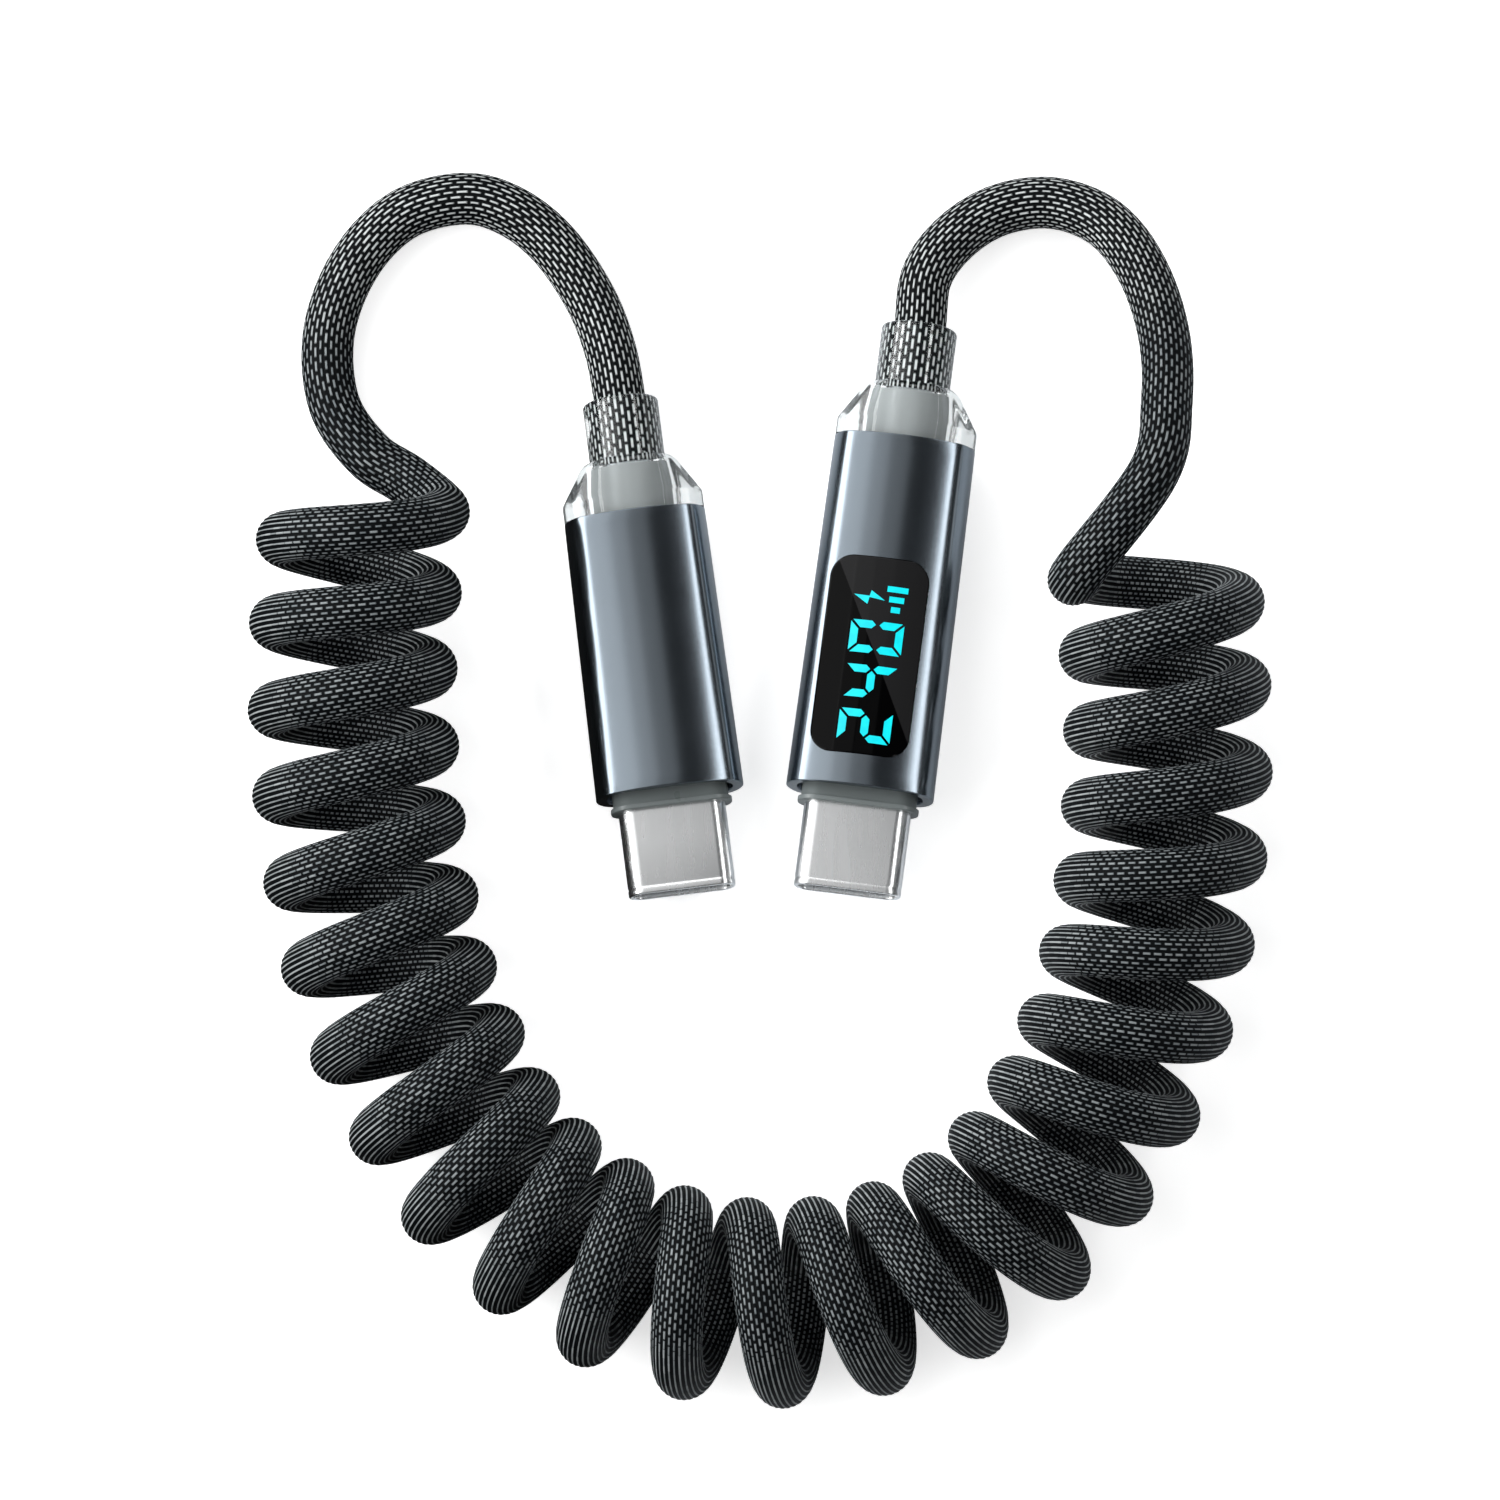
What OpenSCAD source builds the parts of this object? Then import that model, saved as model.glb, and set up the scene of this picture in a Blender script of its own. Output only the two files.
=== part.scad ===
// Spring charging cable lying in a U on a table. A coiled braided cord joins a
// plain plug and a plug with a power meter. +X runs across the U, +Y from the
// bottom of the U to the plugs' cords, +Z up, and the table is at z = 0.
// Each plug is drawn in its own frame: the tip's mouth at y = 0, the cord
// towards +Y, the middle of the plug's thickness at z = 0.

/* [Cord] */
// Diameter of the braided cord
cord_d = 4; // [3.6:0.1:4]
// Radius of the spring's turns, at the middle of the cord
turn_r = 6.1; // [5:0.1:6.4]
// Sides of the plain tubes that stand for the cord
cord_sides = 12; // [8:4:12]

/* [Plug tip] */
// Width of the metal tip
tip_w = 8.25; // [8.2:0.01:8.3]
// Thickness of the metal tip
tip_t = 2.4; // [2.35:0.01:2.45]
// Length of the tip that stands out of the nose
tip_len = 6.6; // [6.4:0.05:6.7]
// Wall of the metal tip
tip_wall = 0.3; // [0.25:0.01:0.3]
// Pitch of the contact springs
contact_pitch = 0.5; // [0.4:0.05:0.5]
// Contact springs in each row
contact_count = 12; // [6:1:12]

/* [Plug shell] */
// Width of the shell at its front
shell_front_w = 11.4; // [11:0.05:11.8]
// Width of the shell at its rear
shell_rear_w = 10.85; // [10.8:0.05:11]
// Thickness of the shell before its belly is flattened
shell_t = 6.6; // [6.4:0.1:7]
// Radius of the crowned top and belly
crown_r = 12; // [11:0.5:20]
// Length of the plain plug's shell
plain_shell_len = 21.9; // [20:0.1:26]
// Length of the meter plug's shell
meter_shell_len = 27.7; // [27:0.1:32]

/* [Clear tail] */
// Length of the bevelled clear tail
tail_len = 4.3; // [4:0.1:6]
// Width of the tail at its rear shoulders
tail_rear_w = 7.4; // [7:0.1:8.5]
// Outer diameter of the clear collar
collar_d = 5.8; // [5.4:0.1:5.9]
// Length of the clear collar
collar_len = 4.8; // [4:0.1:7]

/* [Meter display] */
// Width of the display window
window_w = 7.6; // [7:0.1:7.8]
// Length of the display window
window_len = 15.5; // [15:0.1:15.8]
// Corner radius of the display window
window_r = 1.7; // [1:0.1:2.5]
// How far the window sits to one side of the shell's middle
window_shift = -0.5; // [-0.6:0.1:0]

/* [Hidden] */
$fn = 48;

// Fits between pieces that are pressed or slid together
fit = 0.025;
// Overshoot that makes a cut run clean through
over = 1;

// Belly flat, where the plugs rest on the table
belly_z = 3.2;

// Shell cavity and the blocks that fill it
cavity_w = 9.6;
cavity_t = 4.9;
cavity_r = 2.2;
filler_w = cavity_w - 2 * fit;
filler_t = cavity_t - 2 * fit;

// Nose: a flange in front, a neck, and a block inside the shell
nose_gap = 1.2;
shell_y = tip_len + nose_gap;
flange_len = 0.4;
flange_w = 9.35;
flange_t = 3.5;
neck_w = 8.9;
neck_t = 3.2;
neck_end_y = shell_y + 1.4;
nose_end_y = shell_y + 2.2;

// Tip's inside
tip_end_y = tip_len + 3.3;
insulator_y = 0.4;
insulator_end_y = tip_end_y - 0.5;
slot_w = 6.7;
slot_t = 0.9;
slot_depth_y = 8.2;
contact_w = 0.25;
contact_t = 0.15;
contact_front_y = 1.2;
latch_w = 0.25;
latch_t = 0.6;
latch_x = 3.2;
latch_bump = 0.12;

// Board and what is on it
board_y = insulator_end_y + 0.1;
board_w = 7.4;
board_t = 0.56;
board_rear_gap = 7.9;
contact_tail_y = nose_end_y;
chip_side = 3.2;
chip_t = 0.7;
chip_y = board_y + 4;
wire_count = 5;
wire_d = 0.64;
wire_pitch = 0.75;
wire_overlap = 1.6;

// Cord anchorage
crimp_in = 1.5;
crimp_out = 3.8;
crimp_d = 4.8;
bore_d = cord_d + 2 * fit;
spigot_len = 2.2;
tail_straight = 1.4;
tail_w = shell_rear_w - 0.1;
tail_t = 6.3;
tail_r = 2.6;
tail_rear_t = 5.9;
tail_rear_r = 2.2;

// Display stack, from the board up
window_y = 10.2;
window_bottom_z = 2.17;
ledge_z = 2.0;
light_box_w = 6.4;
light_box_len = 14.6;
light_box_z = 1.47;
display_board_t = 0.4;
segment_t = 0.15;
segment_proud = 0.02;
pin_d = 0.4;
pin_rows = 4;

// Seven-segment digits: they read from the tip to the cord
digit_h = 4.1;
digit_w = 2.55;
digit_pitch = 3.5;
digit_first_y = 12.4;
digit_x = -0.2;
bar = 0.6;
bar_gap = 0.14;
// Segments a to g of each digit: 2, 4 and 0
DIGITS = [
    [1, 1, 0, 1, 1, 0, 1],
    [0, 1, 1, 0, 0, 1, 1],
    [1, 1, 1, 1, 1, 1, 0]
];
symbol_y = 22.5;

// Where each plug lies: the middle of its tip's mouth, and its turn about +Z
plain_at = [-6.7, -22, belly_z];
plain_turn = 7.1;
meter_at = [5.9, -22, belly_z];
meter_turn = -7.2;
plain_len = shell_y + plain_shell_len + tail_len + collar_len;
meter_len = shell_y + meter_shell_len + tail_len + collar_len;

// Middle of the spring, seen from above, from the plain plug's side round the U
coil_z = turn_r + cord_d / 2;
COIL_ROUTE = [
    [-31, 8.5], [-32, -6], [-31, -20.5], [-27.5, -34], [-20, -46.5], [-8.5, -54],
    [5, -55], [16.5, -50], [24.5, -40], [29, -27], [30.5, -12], [29.5, 4]
];
// The spring's three lengths meet at these points of its route
coil_left_last = 3;
coil_right_first = 8;

// Cord from the plain plug's collar over the arch, then down to the spring
PLAIN_BOW = [
    [-12.3, 20.8, 3], [-13.9, 25, 2.5], [-16.7, 29.2, 2.2], [-20, 31.8, 2.05],
    [-23.6, 32.7, 2.05]
];
PLAIN_DROP = [
    [-23.6, 32.7, 2.05], [-28.2, 31.4, 2.05], [-31.8, 27.6, 2.05], [-33.8, 22.2, 2.05],
    [-33.4, 16.6, 2.05], [-30.8, 12.6, 2.3], [-27.8, 10.4, 3.1], [-27.2, 8.5, 3.6]
];
// Cord from the meter plug's collar over the arch, then on to the spring's end
METER_BOW = [
    [12, 26.4, 3], [14.2, 29.6, 2.5], [17.6, 31.8, 2.15], [21.8, 32.3, 2.25]
];
METER_DROP = [
    [21.8, 32.3, 2.25], [25.8, 30.4, 3.4], [28.6, 26.2, 5.4], [30.2, 20.6, 8],
    [30.4, 14.8, 10.6], [29.4, 9, 12.1], [28.4, 4, 12.2]
];

// Points of a smooth curve through a route, with `steps` points to each span
function spline(route, steps) = [
    for (i = [0 : len(route) - 2])
        for (k = [0 : steps - 1])
            blend_point(route, i, k / steps),
    route[len(route) - 1]
];
function blend_point(route, i, t) =
    let (
        b = route[i],
        c = route[i + 1],
        a = i > 0 ? route[i - 1] : 2 * b - c,
        d = i < len(route) - 2 ? route[i + 2] : 2 * c - b
    )
    0.5 * (2 * b + (c - a) * t + (2 * a - 5 * b + 4 * c - d) * t * t
        + (3 * b - a - 3 * c + d) * t * t * t);
function unit(v) = v / norm(v);
function heading(line, i) =
    unit(line[min(i + 1, len(line) - 1)] - line[max(i - 1, 0)]);
function slice(list, first, last) = [for (i = [first : last]) list[i]];
function raised(route, z) = [for (p = route) [p[0], p[1], z]];
// A point of a plug's frame, in the cable's frame
function placed(at, turn, y) = at + y * [-sin(turn), cos(turn), 0];

// A closed tube along a line of points. The end rings may be given a heading.
module tube(line, r, first, last) {
    n = len(line);
    sides = cord_sides;
    rings = [
        for (i = [0 : n - 1])
            let (
                along = i == 0 && first ? unit(first)
                    : i == n - 1 && last ? unit(last)
                    : heading(line, i),
                side = unit(cross(along, [0, 0, 1])),
                top = cross(side, along)
            )
            [for (k = [0 : sides - 1])
                line[i] + r * (cos(k * 360 / sides) * side
                    + sin(k * 360 / sides) * top)]
    ];
    polyhedron(
        points = [for (ring = rings) each ring],
        faces = [
            [for (k = [0 : sides - 1]) k],
            for (i = [0 : n - 2])
                for (k = [0 : sides - 1])
                    [i * sides + k, (i + 1) * sides + k,
                        (i + 1) * sides + (k + 1) % sides, i * sides + (k + 1) % sides],
            [for (k = [0 : sides - 1]) n * sides - 1 - k]
        ],
        convexity = 10
    );
}

// An outline in X and Z, drawn out along +Y from y
module along_y(y, length) {
    translate([0, y + length, 0])
        rotate([90, 0, 0])
            linear_extrude(length)
                children();
}
// A round bar along +Y from y
module rod(y, length, d) {
    translate([0, y, 0])
        rotate([-90, 0, 0])
            cylinder(h = length, d = d);
}
module stadium(w, t) {
    square([w - t, t], center = true);
    for (side = [-1, 1])
        translate([side * (w - t) / 2, 0])
            circle(d = t);
}
module rounded(w, t, r) {
    square([w - 2 * r, t], center = true);
    square([w, t - 2 * r], center = true);
    for (x = [-1, 1], z = [-1, 1])
        translate([x * (w / 2 - r), z * (t / 2 - r)])
            circle(r);
}
// The shell's outline: round sides, crowned top and a flat belly
module shell_outline(w) {
    intersection() {
        stadium(w, shell_t);
        translate([0, shell_t / 2 - crown_r])
            circle(crown_r, $fn = 96);
        translate([0, crown_r - shell_t / 2])
            circle(crown_r, $fn = 96);
        translate([-w / 2, -belly_z])
            square([w, belly_z + shell_t]);
    }
}
// Everything above z, for cutting a block in two
module above(z) {
    translate([-shell_front_w, -over, z])
        cube([2 * shell_front_w, meter_len, shell_t]);
}

// Shared plug parts, each in the plug's own frame

module tip() {
    difference() {
        along_y(0, tip_end_y)
            stadium(tip_w, tip_t);
        along_y(-over, tip_end_y + 2 * over)
            stadium(tip_w - 2 * tip_wall, tip_t - 2 * tip_wall);
    }
}
module contact_row(z, grow = 0) {
    for (i = [0 : contact_count - 1])
        translate([(i - (contact_count - 1) / 2) * contact_pitch,
            (contact_front_y + contact_tail_y) / 2, z])
            cube([contact_w + 2 * grow, contact_tail_y - contact_front_y,
                contact_t + 2 * grow], center = true);
}
upper_row_z = slot_t / 2 - contact_t / 2;
module latches(grow = 0) {
    for (side = [-1, 1])
        translate([side * latch_x, 0, -latch_t / 2 - grow])
            linear_extrude(latch_t + 2 * grow)
                polygon([
                    [side * (latch_w / 2 + grow), contact_front_y],
                    [side * (latch_w / 2 + grow), insulator_end_y],
                    [-side * (latch_w / 2 + grow), insulator_end_y],
                    [-side * (latch_w / 2 + grow), contact_front_y + 2],
                    [-side * (latch_w / 2 + grow + latch_bump), contact_front_y + 1],
                    [-side * (latch_w / 2 + grow), contact_front_y]
                ]);
}
module insulator() {
    difference() {
        along_y(insulator_y, insulator_end_y - insulator_y)
            stadium(tip_w - 2 * tip_wall - 2 * fit, tip_t - 2 * tip_wall - 2 * fit);
        along_y(insulator_y - over, slot_depth_y + over)
            square([slot_w, slot_t], center = true);
        contact_row(upper_row_z, 0.01);
        contact_row(-upper_row_z, 0.01);
        latches(0.01);
    }
}
module nose() {
    difference() {
        union() {
            along_y(tip_len, flange_len)
                rounded(flange_w, flange_t, flange_t / 2 - 0.2);
            along_y(tip_len + flange_len, neck_end_y - tip_len - flange_len)
                rounded(neck_w, neck_t, neck_t / 2 - 0.1);
            along_y(neck_end_y, nose_end_y - neck_end_y)
                rounded(filler_w, filler_t, cavity_r);
        }
        along_y(tip_len - over, nose_end_y + 2 * over)
            stadium(tip_w + 2 * fit, tip_t + 2 * fit);
    }
}
module board(shell_len) {
    length = shell_y + shell_len - board_rear_gap - board_y;
    translate([-board_w / 2, board_y, -board_t / 2])
        cube([board_w, length, board_t]);
}
module chip() {
    translate([-chip_side / 2, chip_y, board_t / 2])
        cube([chip_side, chip_side, chip_t]);
}
module inner_base(shell_len) {
    difference() {
        along_y(nose_end_y + fit, shell_len - nose_end_y + shell_y - spigot_len - 0.5)
            rounded(filler_w, filler_t, cavity_r);
        above(-board_t / 2 - fit);
    }
}
module inner_cap(shell_len) {
    difference() {
        along_y(nose_end_y + fit, shell_len - nose_end_y + shell_y - spigot_len - 0.5)
            rounded(filler_w, filler_t, cavity_r);
        mirror([0, 0, 1])
            above(-board_t / 2 - chip_t - 0.1);
    }
}
module wires(shell_len) {
    from = shell_y + shell_len - board_rear_gap - wire_overlap;
    to = shell_y + shell_len - crimp_in;
    for (i = [0 : wire_count - 1])
        translate([(i - (wire_count - 1) / 2) * wire_pitch, 0,
            board_t / 2 + fit + wire_d / 2])
            rod(from, to - from, wire_d);
}
module shell_blank(length) {
    skin = 0.01;
    hull() {
        along_y(shell_y, skin)
            shell_outline(shell_front_w);
        along_y(shell_y + length - skin, skin)
            shell_outline(shell_rear_w);
    }
}
module shell(length) {
    difference() {
        shell_blank(length);
        along_y(shell_y - over, length + 2 * over)
            rounded(cavity_w, cavity_t, cavity_r);
    }
}
module crimp(rear_y) {
    difference() {
        rod(rear_y - crimp_in, crimp_in + crimp_out, crimp_d);
        rod(rear_y - crimp_in - over, crimp_in + crimp_out + 2 * over, bore_d);
    }
}
module cord_stub(rear_y) {
    rod(rear_y - crimp_in, crimp_in + tail_len + collar_len, cord_d);
}
module tail(rear_y) {
    rim = 0.3;
    difference() {
        union() {
            hull() {
                along_y(rear_y, tail_straight)
                    rounded(tail_w, tail_t, tail_r);
                along_y(rear_y + tail_len - rim, rim)
                    rounded(tail_rear_w, tail_rear_t, tail_rear_r);
            }
            along_y(rear_y - spigot_len, spigot_len)
                rounded(filler_w, filler_t, cavity_r);
        }
        rod(rear_y - spigot_len - over, spigot_len + crimp_out + over + fit,
            crimp_d + 2 * fit);
        rod(rear_y, tail_len + over, bore_d);
    }
}
module collar(rear_y) {
    difference() {
        rod(rear_y + tail_len, collar_len, collar_d);
        rod(rear_y + tail_len - over, collar_len + 2 * over, bore_d);
    }
}

// Display parts, in the meter plug's frame

module window_prism(w, length, from_z, to_z) {
    translate([window_shift, window_y + window_len / 2, from_z])
        linear_extrude(to_z - from_z)
            rounded(w, length, window_r);
}
// The solid under the crowned top, raised or lowered by a little
module crown(raise = 0) {
    translate([0, 0, shell_t / 2 - crown_r])
        rod(shell_y - over, meter_shell_len + 2 * over, 2 * (crown_r + raise), $fn = 240);
}
// One bar of a digit along X: it meets its neighbour on a mitre at a corner of
// the digit, with the long edge on side +1 or -1, and ends in a point elsewhere
module digit_bar(length, side, low_corner, high_corner) {
    half = length / 2 - bar_gap;
    outer = side * bar / 2;
    low_end = low_corner
        ? [[-half - bar / 2, outer], [-half + bar / 2, -outer]]
        : [[-half + bar / 2, outer], [-half, 0], [-half + bar / 2, -outer]];
    high_end = high_corner
        ? [[half - bar / 2, -outer], [half + bar / 2, outer]]
        : [[half - bar / 2, -outer], [half, 0], [half - bar / 2, outer]];
    polygon(concat(low_end, high_end));
}
// A digit with its top towards -X, read along +Y
module digit(lit) {
    half_h = (digit_h - bar) / 2;
    half_w = (digit_w - bar) / 2;
    // Segments a to g: x, y, whether the bar lies along Y, side and corners
    places = [
        [-half_h, 0, true, 1, true, true],
        [-half_h / 2, half_w, false, 1, true, false],
        [half_h / 2, half_w, false, 1, false, true],
        [half_h, 0, true, -1, true, true],
        [half_h / 2, -half_w, false, -1, false, true],
        [-half_h / 2, -half_w, false, -1, true, false],
        [0, 0, true, 1, false, false]
    ];
    for (i = [0 : 6])
        if (lit[i])
            translate([places[i][0], places[i][1]])
                rotate(places[i][2] ? 90 : 0)
                    digit_bar(places[i][2] ? 2 * half_w : half_h,
                        places[i][3], places[i][4], places[i][5]);
}
// A bolt for charging and three bars for the level
module charge_symbols() {
    translate([-1.1, symbol_y])
        polygon([
            [-1.2, 0.15], [-0.1, -0.55], [0, 0], [1.2, -0.15], [0.1, 0.55], [0, 0.1]
        ]);
    for (i = [0 : 2])
        translate([1, symbol_y + (i - 1) * 0.8])
            square([0.7 + 0.45 * i, 0.45], center = true);
}
module segments_outline() {
    for (i = [0 : len(DIGITS) - 1])
        translate([digit_x, digit_first_y + i * digit_pitch])
            digit(DIGITS[i]);
    charge_symbols();
}
module segment_bars(raise) {
    intersection() {
        translate([0, 0, window_bottom_z])
            linear_extrude(shell_t)
                segments_outline();
        difference() {
            crown(raise);
            crown(-segment_t);
        }
    }
}
module display_stack(z, t) {
    translate([window_shift - light_box_w / 2,
        window_y + (window_len - light_box_len) / 2, z])
        cube([light_box_w, light_box_len, t]);
}
module pins() {
    for (i = [0 : pin_rows - 1])
        translate([window_shift + (i - (pin_rows - 1) / 2) * 1.2,
            window_y + window_len - 1.5, board_t / 2])
            cylinder(h = light_box_z - display_board_t - board_t / 2 - 2 * fit, d = pin_d);
}

// Placing each plug in the cable's frame

module plain_plug() {
    translate(plain_at) rotate([0, 0, plain_turn]) children();
}
module meter_plug() {
    translate(meter_at) rotate([0, 0, meter_turn]) children();
}
plain_rear = shell_y + plain_shell_len;
meter_rear = shell_y + meter_shell_len;

// The plain plug's pieces
module plain_tip() { color("gainsboro") plain_plug() tip(); }
module plain_insulator() { color("black") plain_plug() insulator(); }
module plain_contacts_upper() { color("gold") plain_plug() contact_row(upper_row_z); }
module plain_contacts_lower() { color("gold") plain_plug() contact_row(-upper_row_z); }
module plain_latches() { color("silver") plain_plug() latches(); }
module plain_nose() { color("dimgray") plain_plug() nose(); }
module plain_board() { color("darkgreen") plain_plug() board(plain_shell_len); }
module plain_chip() { color("#202020") plain_plug() chip(); }
module plain_inner_base() { color("white") plain_plug() inner_base(plain_shell_len); }
module plain_inner_cap() { color("white") plain_plug() inner_cap(plain_shell_len); }
module plain_wires() { color("firebrick") plain_plug() wires(plain_shell_len); }
module plain_shell() { color("slategray") plain_plug() shell(plain_shell_len); }
module plain_crimp() { color("silver") plain_plug() crimp(plain_rear); }
module plain_cord_stub() { color("#303030") plain_plug() cord_stub(plain_rear); }
module plain_tail() { color("lightgray", 0.6) plain_plug() tail(plain_rear); }
module plain_collar() { color("lightgray", 0.6) plain_plug() collar(plain_rear); }

// The meter plug's pieces
module meter_tip() { color("gainsboro") meter_plug() tip(); }
module meter_insulator() { color("black") meter_plug() insulator(); }
module meter_contacts_upper() { color("gold") meter_plug() contact_row(upper_row_z); }
module meter_contacts_lower() { color("gold") meter_plug() contact_row(-upper_row_z); }
module meter_latches() { color("silver") meter_plug() latches(); }
module meter_nose() { color("dimgray") meter_plug() nose(); }
module meter_board() { color("darkgreen") meter_plug() board(meter_shell_len); }
module meter_chip() { color("#202020") meter_plug() chip(); }
module meter_inner_base() { color("white") meter_plug() inner_base(meter_shell_len); }
module meter_board_pins() { color("gold") meter_plug() pins(); }
module meter_wires() { color("firebrick") meter_plug() wires(meter_shell_len); }
module meter_shell() {
    color("slategray")
        meter_plug()
            difference() {
                shell(meter_shell_len);
                window_prism(window_w + 2 * fit, window_len + 2 * fit, ledge_z, shell_t);
            }
}
module meter_crimp() { color("silver") meter_plug() crimp(meter_rear); }
module meter_cord_stub() { color("#303030") meter_plug() cord_stub(meter_rear); }
module meter_tail() { color("lightgray", 0.6) meter_plug() tail(meter_rear); }
module meter_collar() { color("lightgray", 0.6) meter_plug() collar(meter_rear); }

// The meter's display
module display_board() {
    color("darkgreen")
        meter_plug()
            display_stack(light_box_z - display_board_t - fit, display_board_t);
}
module display_light_box() {
    color("white")
        meter_plug()
            display_stack(light_box_z, window_bottom_z - fit - light_box_z);
}
module display_segments() { color("cyan") meter_plug() segment_bars(segment_proud); }
module display_window() {
    color("black")
        meter_plug()
            difference() {
                intersection() {
                    window_prism(window_w, window_len, window_bottom_z, shell_t);
                    crown();
                }
                segment_bars(over);
            }
}

// The spring, as a fat tube of its outer diameter in three lengths
coil_line = raised(COIL_ROUTE, coil_z);
coil_steps = 2;
module coil_length(first, last) {
    whole = spline(coil_line, coil_steps);
    from = first * coil_steps;
    to = last * coil_steps;
    color("#303030")
        tube(slice(whole, from, to), turn_r + cord_d / 2,
            first == 0 ? [0, -1, 0] : heading(whole, from),
            last == len(coil_line) - 1 ? [0, 1, 0] : heading(whole, to));
}
module coil_left() { coil_length(0, coil_left_last); }
module coil_bend() { coil_length(coil_left_last, coil_right_first); }
module coil_right() { coil_length(coil_right_first, len(coil_line) - 1); }

// The leads. A bow starts square on its collar, and a drop ends square on the spring.
module lead_bow(mouth, turn, route) {
    line = concat([mouth], route);
    color("#303030")
        tube(spline(line, 2), cord_d / 2, [-sin(turn), cos(turn), 0],
            [route[len(route) - 1][0] > 0 ? 1 : -1, 0, 0]);
}
module lead_drop(route, end_heading) {
    color("#303030")
        tube(spline(route, 2), cord_d / 2, [route[0][0] > 0 ? 1 : -1, 0, 0], end_heading);
}
module plain_lead_bow() {
    lead_bow(placed(plain_at, plain_turn, plain_len), plain_turn, PLAIN_BOW);
}
module plain_lead_drop() { lead_drop(PLAIN_DROP, [0, -1, 0]); }
module meter_lead_bow() {
    lead_bow(placed(meter_at, meter_turn, meter_len), meter_turn, METER_BOW);
}
module meter_lead_drop() { lead_drop(METER_DROP, [0, -1, 0]); }

plain_tip();
plain_insulator();
plain_contacts_upper();
plain_contacts_lower();
plain_latches();
plain_nose();
plain_board();
plain_chip();
plain_inner_base();
plain_inner_cap();
plain_wires();
plain_shell();
plain_crimp();
plain_cord_stub();
plain_tail();
plain_collar();
meter_tip();
meter_insulator();
meter_contacts_upper();
meter_contacts_lower();
meter_latches();
meter_nose();
meter_board();
meter_chip();
meter_inner_base();
meter_board_pins();
meter_wires();
meter_shell();
meter_crimp();
meter_cord_stub();
meter_tail();
meter_collar();
display_board();
display_light_box();
display_segments();
display_window();
coil_left();
coil_bend();
coil_right();
plain_lead_drop();
plain_lead_bow();
meter_lead_drop();
meter_lead_bow();
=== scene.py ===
"""Looks of a spring charging cable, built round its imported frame.

The cable lies in a U on a table. A coiled braided cord joins a plain plug and
a plug with a power meter. All sizes are in metres. +X runs across the U, +Y
towards the ends of the plugs where the cord leaves, and the table is at z = 0.
"""

import logging
import math
from dataclasses import dataclass
from enum import Enum
from typing import Callable, Sequence

import bmesh
import bpy
import numpy as np
from mathutils import Matrix, Vector


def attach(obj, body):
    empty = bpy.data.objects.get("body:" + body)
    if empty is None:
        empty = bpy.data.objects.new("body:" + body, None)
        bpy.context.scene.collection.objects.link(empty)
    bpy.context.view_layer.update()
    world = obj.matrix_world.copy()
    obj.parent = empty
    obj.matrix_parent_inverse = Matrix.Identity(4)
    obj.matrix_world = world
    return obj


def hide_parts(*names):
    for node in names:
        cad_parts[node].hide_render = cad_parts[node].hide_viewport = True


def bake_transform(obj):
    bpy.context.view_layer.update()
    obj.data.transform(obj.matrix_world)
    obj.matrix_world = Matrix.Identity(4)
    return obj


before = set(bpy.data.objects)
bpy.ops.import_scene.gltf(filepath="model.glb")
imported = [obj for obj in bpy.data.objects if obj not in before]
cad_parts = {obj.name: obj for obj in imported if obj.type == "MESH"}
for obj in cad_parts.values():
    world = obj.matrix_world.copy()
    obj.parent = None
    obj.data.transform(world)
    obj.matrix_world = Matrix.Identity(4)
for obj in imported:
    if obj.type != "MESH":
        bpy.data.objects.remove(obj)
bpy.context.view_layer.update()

log = logging.getLogger("spring_cable")
MM = 0.001
# Points in the outlines of the shell and of what is joined to it
ROUND_POINTS = 192

Point2 = tuple[float, float]
Colour = tuple[float, float, float]


class Body(str, Enum):
    """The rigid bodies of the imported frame."""

    PLAIN_HALF = "plain_half"
    METER_HALF = "meter_half"
    PLAIN_PLUG = "plain_plug"
    METER_PLUG = "meter_plug"


class Slot(str, Enum):
    """The record's material slots."""

    TIP = "tip_nickel"
    CONTACT = "contact_gold"
    NOSE = "nose_dark"
    SHELL = "shell_grey"
    CRIMP = "crimp_steel"
    BRAID = "braid"
    CLEAR = "clear_tail"
    WINDOW = "display_black"


# Shader maths ---------------------------------------------------------------


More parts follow.
